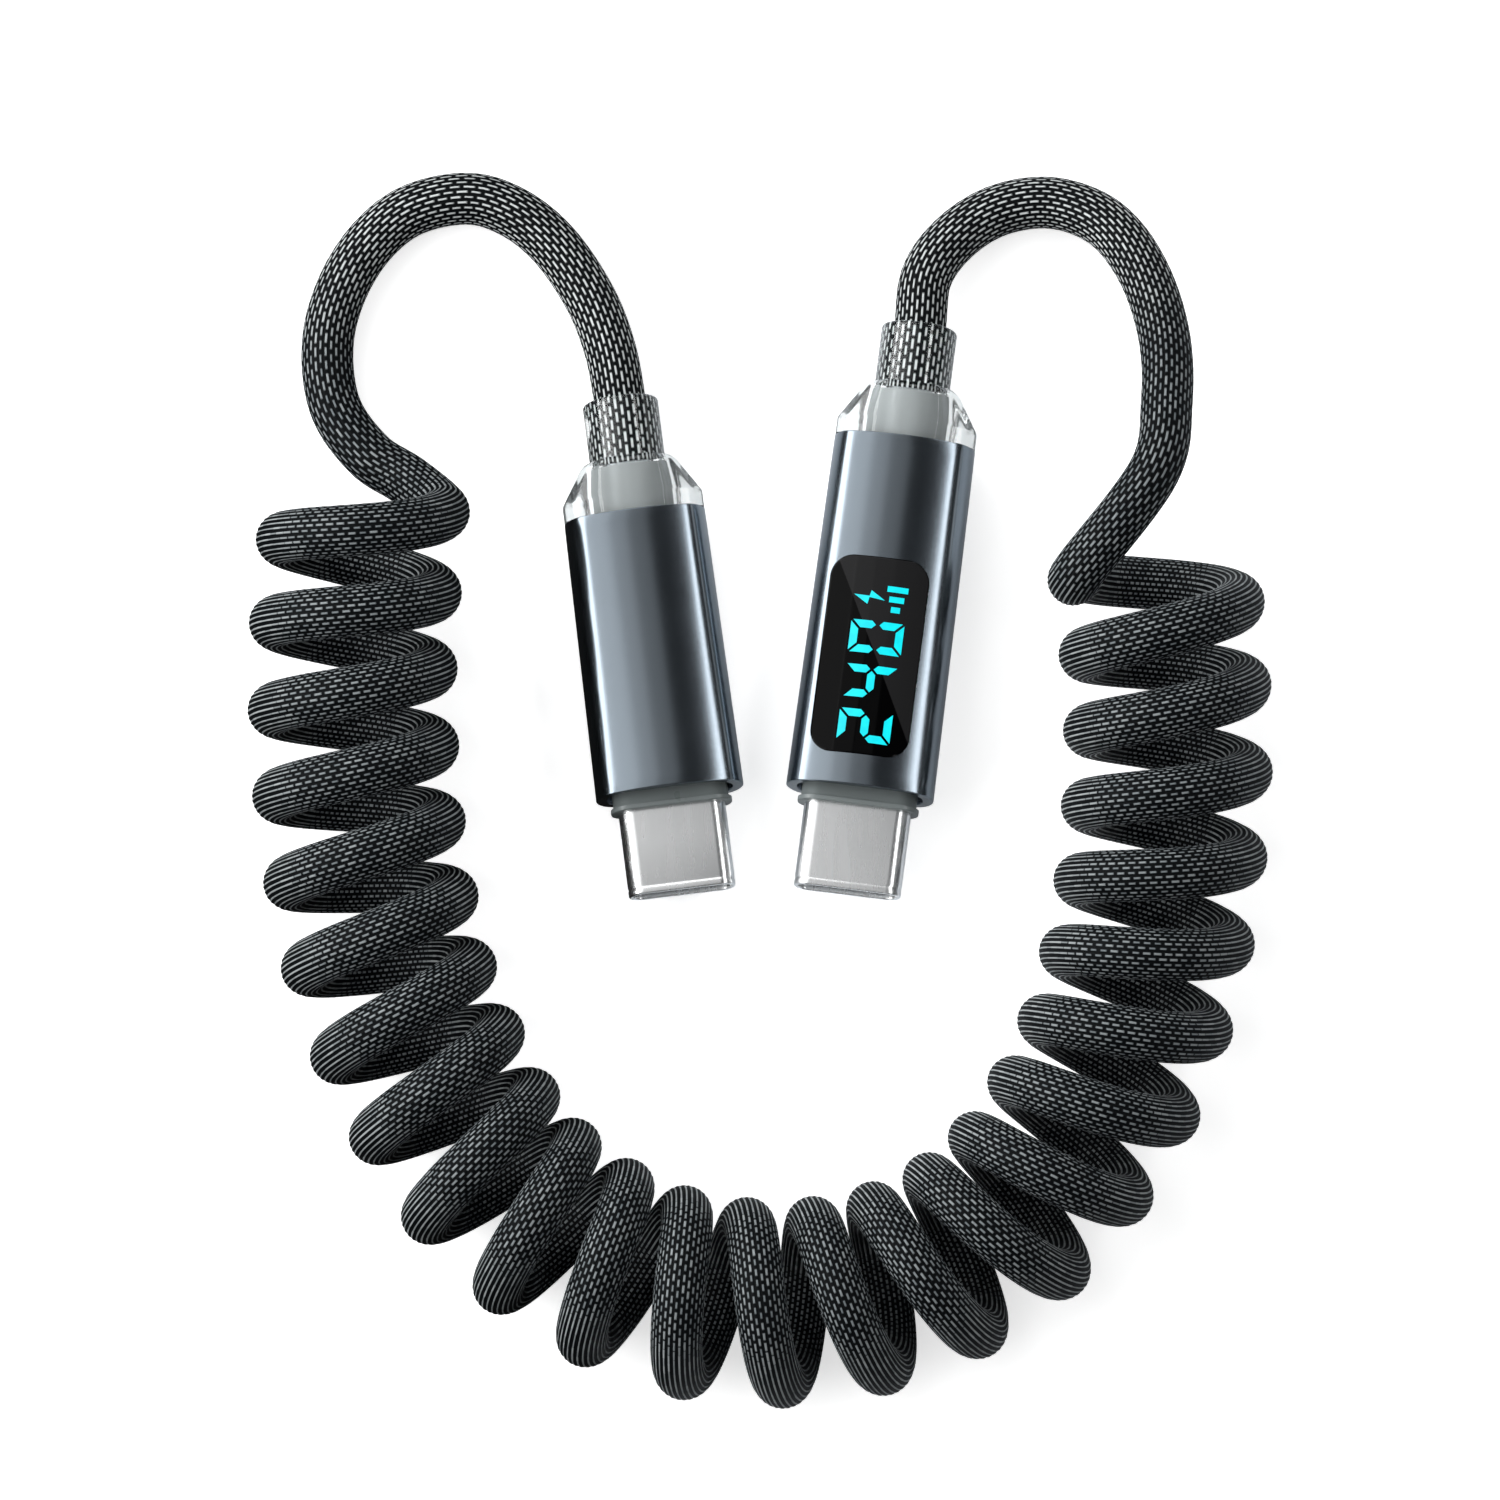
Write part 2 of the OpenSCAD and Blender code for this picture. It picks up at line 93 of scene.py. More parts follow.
class Field:
    """A shader socket that Python's operators work on."""

    def __init__(self, surface: "Surface", socket: bpy.types.NodeSocket) -> None:
        """Wraps one output socket of a surface's node tree."""
        self.surface = surface
        self.socket = socket

    def math(self, operation: str, *others: "Field | float") -> "Field":
        """Runs a Math node on this field.

        Args:
            operation: The Math node's operation.
            others: The node's further operands, in order.

        Returns:
            The node's result.
        """
        return self.surface.math(operation, self, *others)

    def __add__(self, other: "Field | float") -> "Field":
        """Sum."""
        return self.math("ADD", other)

    __radd__ = __add__

    def __sub__(self, other: "Field | float") -> "Field":
        """Difference."""
        return self.math("SUBTRACT", other)

    def __rsub__(self, other: "Field | float") -> "Field":
        """Difference with this field last."""
        return self.surface.math("SUBTRACT", other, self)

    def __mul__(self, other: "Field | float") -> "Field":
        """Product."""
        return self.math("MULTIPLY", other)

    __rmul__ = __mul__

    def __truediv__(self, other: "Field | float") -> "Field":
        """Quotient."""
        return self.math("DIVIDE", other)

    def __gt__(self, other: "Field | float") -> "Field":
        """1 where this field is the greater."""
        return self.math("GREATER_THAN", other)

    def floor(self) -> "Field":
        """Whole part."""
        return self.math("FLOOR")

    def fract(self) -> "Field":
        """Part after the point."""
        return self.math("FRACT")

    def abs(self) -> "Field":
        """Size without sign."""
        return self.math("ABSOLUTE")

    def max(self, other: "Field | float") -> "Field":
        """The greater of the two."""
        return self.math("MAXIMUM", other)

    def rise(self, low: "Field | float", high: "Field | float") -> "Field":
        """A smooth step from 0 at low to 1 at high."""
        node = self.surface.add(
            "ShaderNodeMapRange",
            {"interpolation_type": "SMOOTHSTEP"},
            {"Value": self, "From Min": low, "From Max": high},
        )
        return Field(self.surface, node.outputs["Result"])


class Surface:
    """A material under construction."""

    def __init__(self, name: str) -> None:
        """Starts an empty node tree with its output."""
        self.material = bpy.data.materials.new(name)
        self.material.use_nodes = True
        self.tree = self.material.node_tree
        self.tree.nodes.clear()
        self.output = self.tree.nodes.new("ShaderNodeOutputMaterial")

    def add(
        self, kind: str, settings: dict | None = None, sockets: dict | None = None
    ) -> bpy.types.Node:
        """Adds any node.

        Args:
            kind: The node's type.
            settings: Properties that are set before the sockets.
            sockets: Input name or index to a value, a Field or a socket.

        Returns:
            The node.
        """
        node = self.tree.nodes.new(kind)
        for name, value in (settings or {}).items():
            setattr(node, name, value)
        for key, value in (sockets or {}).items():
            target = node.inputs[key]
            if isinstance(value, Field):
                self.tree.links.new(value.socket, target)
            elif isinstance(value, bpy.types.NodeSocket):
                self.tree.links.new(value, target)
            else:
                target.default_value = value
        return node

    def math(self, operation: str, *operands: Field | float) -> Field:
        """A Math node on up to three operands."""
        node = self.add(
            "ShaderNodeMath", {"operation": operation}, dict(enumerate(operands))
        )
        return Field(self, node.outputs[0])

    def place(self, scale: Sequence[float] = (1, 1, 1)) -> Field:
        """Object coordinates, stretched."""
        where = self.add("ShaderNodeTexCoord").outputs["Object"]
        node = self.add("ShaderNodeMapping", None, {"Vector": where, "Scale": scale})
        return Field(self, node.outputs[0])

    def split(self, vector: Field) -> tuple[Field, Field, Field]:
        """The three numbers of a vector."""
        node = self.add("ShaderNodeSeparateXYZ", None, {0: vector})
        return tuple(Field(self, out) for out in node.outputs)

    def attribute(self, name: str, output: str) -> Field:
        """An attribute of the mesh, read as the named output."""
        node = self.add("ShaderNodeAttribute", {"attribute_name": name})
        return Field(self, node.outputs[output])

    def noise(self, where: Field, scale: float, detail: float = 3.0) -> Field:
        """Soft noise from 0 to 1."""
        node = self.add(
            "ShaderNodeTexNoise", None, {"Vector": where, "Scale": scale, "Detail": detail}
        )
        return Field(self, node.outputs[0])

    def grain(self, a: Field, b: Field) -> Field:
        """A random number for each pair of whole numbers."""
        pair = self.add("ShaderNodeCombineXYZ", None, {0: a, 1: b})
        node = self.add(
            "ShaderNodeTexWhiteNoise", {"noise_dimensions": "2D"}, {0: pair.outputs[0]}
        )
        return Field(self, node.outputs["Value"])

    def blend(self, factor: Field | float, low: "Colour | Field", high: "Colour | Field") -> Field:
        """Mixes two colours."""
        low, high = (c if isinstance(c, Field) else (*c, 1.0) for c in (low, high))
        node = self.add(
            "ShaderNodeMix",
            {"data_type": "RGBA", "clamp_factor": True},
            {0: factor, 6: low, 7: high},
        )
        return Field(self, node.outputs[2])

    def bump(self, height: Field, distance: float, strength: float = 1.0) -> Field:
        """A normal that is bent by a height."""
        node = self.add(
            "ShaderNodeBump", None, {"Height": height, "Distance": distance, "Strength": strength}
        )
        return Field(self, node.outputs[0])

    def finish(self, **sockets: object) -> bpy.types.Material:
        """Ends the tree in a Principled shader.

        Args:
            sockets: Socket names, with _ for a space, to values or fields.

        Returns:
            The finished material.
        """
        named = {
            name.replace("_", " "): ((*value, 1.0) if isinstance(value, tuple) else value)
            for name, value in sockets.items()
        }
        shader = self.add("ShaderNodeBsdfPrincipled", None, named)
        self.tree.links.new(shader.outputs[0], self.output.inputs["Surface"])
        return self.material


# Finishes -------------------------------------------------------------------


@dataclass(frozen=True)
class BraidFinish:
    """Black braid with raised light threads in a brick pattern."""

    name: str = "braided sleeve"
    columns: int = 30
    ground: Colour = (0.0015, 0.0022, 0.0028)
    thread: Colour = (0.135, 0.155, 0.165)
    # Paler thread colour, which painted light on the leads brings the threads towards
    bright: Colour = (0.62, 0.65, 0.65)
    relief: float = 0.12

    def build(self) -> bpy.types.Material:
        """Draws the threads from the sleeve's own UV map, one V unit for each stitch."""
        s = Surface(self.name)
        around, along, _ = s.split(s.attribute("Weave", "Vector"))
        # Painted highlight where the coil's turns end, which also draws those stitches out long
        drawn = s.attribute("DrawnAndSheen", "Fac")
        # Painted light: 1 on the leads, fading to painted shade before and on the spring; it also
        # shapes the leads' stitches
        lead_weave_and_light = s.attribute("LeadWeaveAndLight", "Fac")
        across = around * self.columns
        column = across.floor()
        row = along + column * 0.5
        stitch = row.floor()
        luck = s.grain(column, stitch)
        side = (across.fract() - 0.5).abs()
        end = (row.fract() - 0.5).abs()
        half_wide = luck * 0.05 - drawn * 0.06 - lead_weave_and_light * 0.02 + 0.185
        half_long = drawn * 0.3 + lead_weave_and_light * 0.03 + luck * 0.08 + 0.27
        wide = 1.0 - side.rise(half_wide - 0.06, half_wide + 0.06)
        long = 1.0 - end.rise(half_long - 0.08, half_long + 0.08)
        thread = wide * long
        fibres = s.noise(
            Field(s, s.add("ShaderNodeCombineXYZ", None, {0: across * 5.0, 1: row}).outputs[0]),
            2.2,
            2.0,
        )
        # Painted light: threads paler on the leads and at the turns' steep ends, darker on the
        # spring; luck is the threads' own random tone
        light = lead_weave_and_light * 0.75 + luck * 0.25 + drawn * 0.22
        tone = s.blend(light, self.thread, self.bright)
        tone = s.blend(fibres.rise(0.3, 0.75) * 0.3, tone, self.thread)
        colour = s.blend(thread, self.ground, tone)
        height = thread * 0.75 + (1.0 - side * side * 4.0) * 0.25 + fibres * 0.12
        looks = {"Base_Color": colour, "Roughness": 0.58 - thread * 0.22}
        if self.relief:
            looks["Normal"] = s.bump(height, self.relief * MM, 0.9)
        return s.finish(**looks, Specular_IOR_Level=0.06)


@dataclass(frozen=True)
class MetalFinish:
    """A metal with fine grain."""

    name: str
    colour: Colour
    rough: float
    grain_scale: float = 9000.0
    grain_depth: float = 0.004
    stretch: tuple[float, float, float] = (1, 1, 1)
    mottle: float = 0.06

    def build(self) -> bpy.types.Material:
        """A metallic surface whose roughness and tone vary a little."""
        s = Surface(self.name)
        fine = s.noise(s.place(self.stretch), self.grain_scale, 2.0)
        broad = s.noise(s.place(), 160.0, 3.0)
        darker = tuple(c * (1 - self.mottle) for c in self.colour)
        looks = {
            "Base_Color": s.blend(broad * 0.6 + fine * 0.4, darker, self.colour),
            "Roughness": (fine - 0.5) * 0.08 + (broad - 0.5) * 0.05 + self.rough,
        }
        if self.grain_depth:
            looks["Normal"] = s.bump(fine, self.grain_depth * MM, 0.5)
        return s.finish(**looks, Metallic=1.0)


@dataclass(frozen=True)
class PlasticFinish:
    """A moulded plastic with a fine skin texture."""

    name: str
    colour: Colour
    rough: float
    texture_scale: float = 3500.0
    texture_depth: float = 0.006

    def build(self) -> bpy.types.Material:
        """A plastic whose tone and roughness vary a little."""
        s = Surface(self.name)
        skin = s.noise(s.place(), self.texture_scale, 2.0)
        cloud = s.noise(s.place(), 220.0, 3.0)
        paler = tuple(c * 1.25 + 0.003 for c in self.colour)
        return s.finish(
            Base_Color=s.blend(cloud, self.colour, paler),
            Roughness=(cloud - 0.5) * 0.12 + self.rough,
            Normal=s.bump(skin, self.texture_depth * MM, 0.5),
        )


@dataclass(frozen=True)
class ClearFinish:
    """Clear moulded plastic that bends what is seen through it."""

    name: str
    colour: Colour = (0.85, 0.88, 0.88)
    rough: float = 0.03
    bends: float = 1.46
    ripple: float = 0.012

    def build(self) -> bpy.types.Material:
        """A transmissive surface, with a faint ripple if it has a depth."""
        s = Surface(self.name)
        looks = {"Base_Color": self.colour, "Roughness": self.rough, "IOR": self.bends}
        if self.ripple:
            looks["Normal"] = s.bump(s.noise(s.place(), 300.0, 1.0), self.ripple * MM, 0.3)
        return s.finish(**looks, Transmission_Weight=1.0)


@dataclass(frozen=True)
class WindowFinish:
    """Black glass with a painted reflection: a paler half, split along a slanted line."""

    name: str = "display glass"
    deep: Colour = (0.0008, 0.0008, 0.0009)
    # Colour of the painted reflection, on the paler half
    pale: Colour = (0.014, 0.014, 0.0145)
    corner: Point2 = (0.0, 0.0)
    slant: Point2 = (1.0, 0.0)

    def build(self) -> bpy.types.Material:
        """Polished black, with a painted reflection: the paler half beyond the slanted line."""
        s = Surface(self.name)
        x, y, _ = s.split(s.place())
        # Painted reflection: the glass is paler on the side that the slant points to
        painted_glare_side = (x - self.corner[0]) * self.slant[0] + (y - self.corner[1]) * self.slant[1]
        dust = s.noise(s.place(), 900.0, 4.0)
        return s.finish(
            Base_Color=s.blend(painted_glare_side.rise(-0.05 * MM, 0.05 * MM), self.deep, self.pale),
            Roughness=dust.rise(0.45, 0.8) * 0.05 + 0.06,
            Specular_IOR_Level=0.08,
        )


@dataclass(frozen=True)
class LampFinish:
    """Lit segments."""

    name: str = "display segments"
    colour: Colour = (0.0, 0.9, 1.0)
    power: float = 1.0

    def build(self) -> bpy.types.Material:
        """An even glow, a little weaker here and there."""
        s = Surface(self.name)
        uneven = s.noise(s.place(), 1500.0, 1.0)
        weaker = tuple(c * 0.86 for c in self.colour)
        glow = s.blend(uneven.rise(0.3, 0.7), weaker, self.colour)
        return s.finish(
            Base_Color=(0.0, 0.05, 0.06),
            Roughness=0.3,
            Emission_Color=glow,
            Emission_Strength=self.power,
        )


@dataclass(frozen=True)
class CircuitFinish:
    """A circuit board: green mask, tracks and tinned pads."""

    name: str = "circuit board"
    mask: Colour = (0.006, 0.09, 0.035)
    track: Colour = (0.02, 0.2, 0.08)
    pad: Colour = (0.75, 0.76, 0.74)

    def build(self) -> bpy.types.Material:
        """Tracks on a square net, with pads where the net's lines meet."""
        s = Surface(self.name)
        x, y, _ = s.split(s.place((1000 / 0.9, 1000 / 0.9, 1)))
        u, v = (x.fract() - 0.5).abs(), (y.fract() - 0.5).abs()
        chosen = s.grain(x.floor(), y.floor())
        tracks = (1.0 - u.rise(0.06, 0.1)).max(1.0 - v.rise(0.06, 0.1)) * (chosen > 0.3)
        pads = (1.0 - (u * u + v * v).rise(0.03, 0.045)) * (chosen > 0.55)
        colour = s.blend(pads, s.blend(tracks, self.mask, self.track), self.pad)
        return s.finish(
            Base_Color=colour,
            Metallic=pads * 0.9,
            Roughness=0.38 - pads * 0.1,
            Normal=s.bump(tracks * 0.5 + pads, 0.03 * MM, 0.8),
        )


@dataclass(frozen=True)
class WireFinish:
    """Insulated wires side by side, each in its own colour."""

    name: str = "wire insulation"
    colours: tuple[Colour, ...] = (
        (0.5, 0.02, 0.015),
        (0.01, 0.01, 0.01),
        (0.02, 0.22, 0.05),
        (0.7, 0.7, 0.68),
        (0.03, 0.08, 0.4),
    )
    pitch: float = 0.75 * MM
    middle: Point2 = (0.0, 0.0)
    turn: float = 0.0

    def build(self) -> bpy.types.Material:
        """Steps through the colours across the row of wires."""
        s = Surface(self.name)
        x, y, _ = s.split(s.place())
        c, t = math.cos(self.turn), math.sin(self.turn)
        across = (x - self.middle[0]) * c + (y - self.middle[1]) * t
        order = (across / self.pitch + (len(self.colours) / 2)).floor()
        colour: Field | Colour = self.colours[0]
        for i, next_colour in enumerate(self.colours[1:]):
            colour = s.blend(order > (i + 0.5), colour, next_colour)
        soft = s.noise(s.place(), 2000.0, 2.0)
        return s.finish(Base_Color=colour, Roughness=soft * 0.1 + 0.32)


# Shapes ---------------------------------------------------------------------


def softened(points: np.ndarray, times: int) -> np.ndarray:
    """Eases the corners of a closed row of points, so many times."""
    for _ in range(times):
        points = points * 0.5 + (np.roll(points, 1, 0) + np.roll(points, -1, 0)) * 0.25
    return points


class Outline:
    """A closed outline in a plug's cross-section, as points (x, z)."""

    def __init__(self, points: Sequence[Point2]) -> None:
        """Keeps the points, which run anticlockwise seen from the tip."""
        self.points = np.array(points, float)

    @classmethod
    def rounded(cls, w: float, t: float, r: float, per_corner: int = 12) -> "Outline":
        """A rounded rectangle.

        Args:
            w: Width.
            t: Thickness.
            r: Corner radius.
            per_corner: Points in each corner.

        Returns:
            The outline.
        """
        r = min(r, w / 2 - 1e-6, t / 2 - 1e-6)
        points = []
        for quarter, (sx, sz) in enumerate(((1, 1), (-1, 1), (-1, -1), (1, -1))):
            for k in range(per_corner):
                a = math.pi / 2 * (quarter + k / (per_corner - 1))
                points.append(
                    (sx * (w / 2 - r) + r * math.cos(a), sz * (t / 2 - r) + r * math.sin(a))
                )
        return cls(points)

    @classmethod
    def cast(cls, inside: Callable[[float, float], bool], reach: float, count: int) -> "Outline":
        """An outline found by a test.

        Args:
            inside: Says if a point lies inside.
            reach: A distance from the middle that is surely outside.
            count: Number of points.

        Returns:
            The outline, with its corners slightly eased.
        """
        points = []
        for k in range(count):
            a = 2 * math.pi * k / count
            # Points are spread by length along the long sides, not by angle
            c, s = math.cos(a), math.sin(a) * 0.62
            low, high = 0.0, reach / math.hypot(c, s)
            for _ in range(36):
                middle = (low + high) / 2
                low, high = (middle, high) if inside(middle * c, middle * s) else (low, middle)
            points.append((low * c, low * s))
        return cls(softened(np.array(points), 5))

    def inset(self, by: float) -> "Outline":
        """The outline moved inwards."""
        p = self.points
        along = np.roll(p, -1, 0) - np.roll(p, 1, 0)
        along /= np.maximum(np.linalg.norm(along, axis=1), 1e-12)[:, None]
        return Outline(p + by * np.stack([-along[:, 1], along[:, 0]], 1))

    def ring(self, y: float) -> np.ndarray:
        """The outline's points at a place along the plug."""
        p = self.points
        return np.stack([p[:, 0], np.full(len(p), y), p[:, 1]], 1)


def band_faces(n: int, bands: int, rings: int) -> list[tuple[int, int, int, int]]:
    """Quads between rings of n points each.

    Args:
        n: Points in a ring.
        bands: Bands of quads to make, from the first ring on.
        rings: Rings in all: a band past the last one joins the first.

    Returns:
        The corner numbers of each quad.
    """
    return [
        (i * n + k, i * n + (k + 1) % n, (i + 1) % rings * n + (k + 1) % n, (i + 1) % rings * n + k)
        for i in range(bands)
        for k in range(n)
    ]


def turn_outwards(mesh: bpy.types.Mesh) -> None:
    """Turns every face of a closed mesh outwards."""
    made = bmesh.new()
    made.from_mesh(mesh)
    bmesh.ops.recalc_face_normals(made, faces=made.faces[:])
    made.to_mesh(mesh)
    made.free()


def mesh_object(
    name: str,
    points: np.ndarray,
    faces: Sequence[Sequence[int]],
    material: bpy.types.Material,
    sharp: float = 35.0,
) -> bpy.types.Object:
    """Makes an object with outward faces.

    Args:
        name: The piece's name.
        points: Its corners.
        faces: Corner numbers of each face.
        material: Its finish.
        sharp: Edges over this angle in degrees stay crisp.

    Returns:
        The object, at the origin.
    """
    mesh = bpy.data.meshes.new(name)
    mesh.from_pydata([tuple(p) for p in points], [], [tuple(f) for f in faces])
    turn_outwards(mesh)
    return dress(bpy.data.objects.new(name, mesh), material, sharp)


def dress(
    piece: bpy.types.Object, material: bpy.types.Material, sharp: float = 35.0
) -> bpy.types.Object:
    """Links a new object, gives it its finish and smooths it."""
    piece.data.materials.clear()
    piece.data.materials.append(material)
    if piece.name not in bpy.context.scene.collection.objects:
        bpy.context.scene.collection.objects.link(piece)
    piece.data.shade_smooth()
    piece.data.set_sharp_from_angle(angle=math.radians(sharp))
    return piece


def apply_modifiers(piece: bpy.types.Object) -> None:
    """Leaves a piece as the plain mesh that its modifiers make."""
    depsgraph = bpy.context.evaluated_depsgraph_get()
    whole = bpy.data.meshes.new_from_object(piece.evaluated_get(depsgraph))
    piece.modifiers.clear()
    piece.data = whole


def loft(
    name: str,
    rings: Sequence[np.ndarray],
    material: bpy.types.Material,
    hollow: bool = False,
    sharp: float = 35.0,
) -> bpy.types.Object:
    """Skins a row of rings.

    Args:
        name: The piece's name.
        rings: Rings with the same number of points.
        material: The finish.
        hollow: Joins the last ring to the first, for a tube with a wall.
        sharp: Edges over this angle in degrees stay crisp.

    Returns:
        The object, in its plug's own frame.
    """
    n, count = len(rings[0]), len(rings)
    pairs = count if hollow else count - 1
    faces = band_faces(n, pairs, count)
    if not hollow:
        faces += [list(range(n)), [(count - 1) * n + k for k in range(n)]]
    return mesh_object(name, np.concatenate(rings), faces, material, sharp)


def eased(
    outline: Outline, y: float, ease: float, inwards: int, steps: int = 4
) -> list[np.ndarray]:
    """Rings that round an outline's edge.

    Args:
        outline: The outline at its full size.
        y: Place of the end face.
        ease: Radius of the rounding.
        inwards: 1 where the body lies towards +Y of the end face, -1 where it lies behind.
        steps: Rings in the rounding.

    Returns:
        The rings, from the end face to the full outline.
    """
    rings = []
    for k in range(steps + 1):
        a = math.pi / 2 * k / steps
        rings.append(
            outline.inset(ease * (1 - math.sin(a))).ring(y + inwards * ease * (1 - math.cos(a)))
        )
    return rings


class RepeatTree:
    """A Geometry Nodes tree that repeats a piece along a straight row."""

    def __init__(self) -> None:
        """Builds the tree with its named inputs."""
        self.tree = bpy.data.node_groups.new("Repeat in a row", "GeometryNodeTree")
        face = self.tree.interface
        face.new_socket("Geometry", in_out="INPUT", socket_type="NodeSocketGeometry")
        self.count = face.new_socket("Count", in_out="INPUT", socket_type="NodeSocketInt")
        self.step = face.new_socket("Step", in_out="INPUT", socket_type="NodeSocketVector")
        self.finish = face.new_socket("Finish", in_out="INPUT", socket_type="NodeSocketMaterial")
        face.new_socket("Geometry", in_out="OUTPUT", socket_type="NodeSocketGeometry")
        new = self.tree.nodes.new
        source, sink = new("NodeGroupInput"), new("NodeGroupOutput")
        line = new("GeometryNodeMeshLine")
        line.mode = "OFFSET"
        scatter = new("GeometryNodeInstanceOnPoints")
        real = new("GeometryNodeRealizeInstances")
        paint = new("GeometryNodeSetMaterial")
        for a, b in (
            (source.outputs["Count"], line.inputs["Count"]),
            (source.outputs["Step"], line.inputs["Offset"]),
            (line.outputs["Mesh"], scatter.inputs["Points"]),
            (source.outputs["Geometry"], scatter.inputs["Instance"]),
            (scatter.outputs["Instances"], real.inputs[0]),
            (real.outputs[0], paint.inputs["Geometry"]),
            (source.outputs["Finish"], paint.inputs["Material"]),
            (paint.outputs[0], sink.inputs[0]),
        ):
            self.tree.links.new(a, b)

    def apply(
        self, piece: bpy.types.Object, count: int, step: Sequence[float]
    ) -> bpy.types.Object:
        """Repeats a piece and leaves a plain mesh.

        Args:
            piece: The first of the row.
            count: How many in all.
            step: From one to the next.

        Returns:
            The same object, now the whole row.
        """
        modifier = piece.modifiers.new("row", "NODES")
        modifier.node_group = self.tree
        modifier[self.count.identifier] = count
        modifier[self.step.identifier] = [float(x) for x in step]
        modifier[self.finish.identifier] = piece.data.materials[0]
        apply_modifiers(piece)
        return piece


# The cord -------------------------------------------------------------------


def spline(route: np.ndarray, steps: int) -> np.ndarray:
    """Points of a smooth curve through a route, with so many to each span."""
    p = np.vstack([2 * route[0] - route[1], route, 2 * route[-1] - route[-2]])
    t = (np.arange(steps) / steps)[:, None]
    spans = [
        0.5
        * (
            2 * b
            + (c - a) * t
            + (2 * a - 5 * b + 4 * c - d) * t**2
            + (3 * b - a - 3 * c + d) * t**3
        )
        for a, b, c, d in zip(p, p[1:], p[2:], p[3:])
    ]
    return np.vstack([*spans, route[-1:]])


def distances(points: np.ndarray) -> np.ndarray:
    """Distance of each point along the line from its first."""
    return np.r_[0, np.cumsum(np.linalg.norm(np.diff(points, axis=0), axis=1))]


@dataclass(frozen=True)
class PlugPlace:
    """Where a plug lies: the middle of its tip's mouth, and its turn about +Z."""

    mouth: tuple[float, float, float]
    turn: float

    @property
    def matrix(self) -> Matrix:
        """From the plug's own frame to the cable's."""
        return Matrix.Translation(self.mouth) @ Matrix.Rotation(self.turn, 4, "Z")

    def at(self, x: float, y: float, z: float = 0.0) -> Vector:
        """A point of the plug's own frame, in the cable's."""
        return self.matrix @ Vector((x, y, z))


@dataclass(frozen=True)
class Spring:
    """The coiled stretch: turns round a curved middle line."""

    middle: tuple[Point2, ...] = (
        (-0.031, 0.0085), (-0.032, -0.006), (-0.031, -0.0205), (-0.0275, -0.034),
        (-0.020, -0.0465), (-0.0085, -0.054), (0.005, -0.055), (0.0165, -0.050),
        (0.0245, -0.040), (0.029, -0.027), (0.0305, -0.012), (0.0295, 0.004),
    )
    radius: float = 0.0061
    height: float = 0.0081
    pitch: float = 0.00637
    first: float = 0.00445
    from_turn: float = -0.55
    to_turn: float = 23.55
    lean: float = 0.27

    def points(self, per_turn: int = 12) -> np.ndarray:
        """Points along the middle of the coiled cord, from the plain plug's side."""
        line = spline(np.array(self.middle), 60)
        reach = distances(line)
        n = np.arange(self.from_turn * per_turn, self.to_turn * per_turn + 0.01) / per_turn
        along = self.first + n * self.pitch

        def on_line(s: np.ndarray) -> np.ndarray:
            return np.stack([np.interp(s, reach, line[:, i]) for i in (0, 1)], 1)

        gap = 0.0003
        heading = on_line(along + gap) - on_line(along - gap)
        heading /= np.linalg.norm(heading, axis=1)[:, None]
        outwards = np.stack([heading[:, 1], -heading[:, 0]], 1)
        phase = 2 * math.pi * n
        up = -self.radius * np.sin(phase)
        flat = (
            on_line(along)
            + (self.radius * np.cos(phase))[:, None] * outwards
            - (self.lean * heading[:, 1] * up)[:, None] * heading
        )
        return np.column_stack([flat, self.height + up])


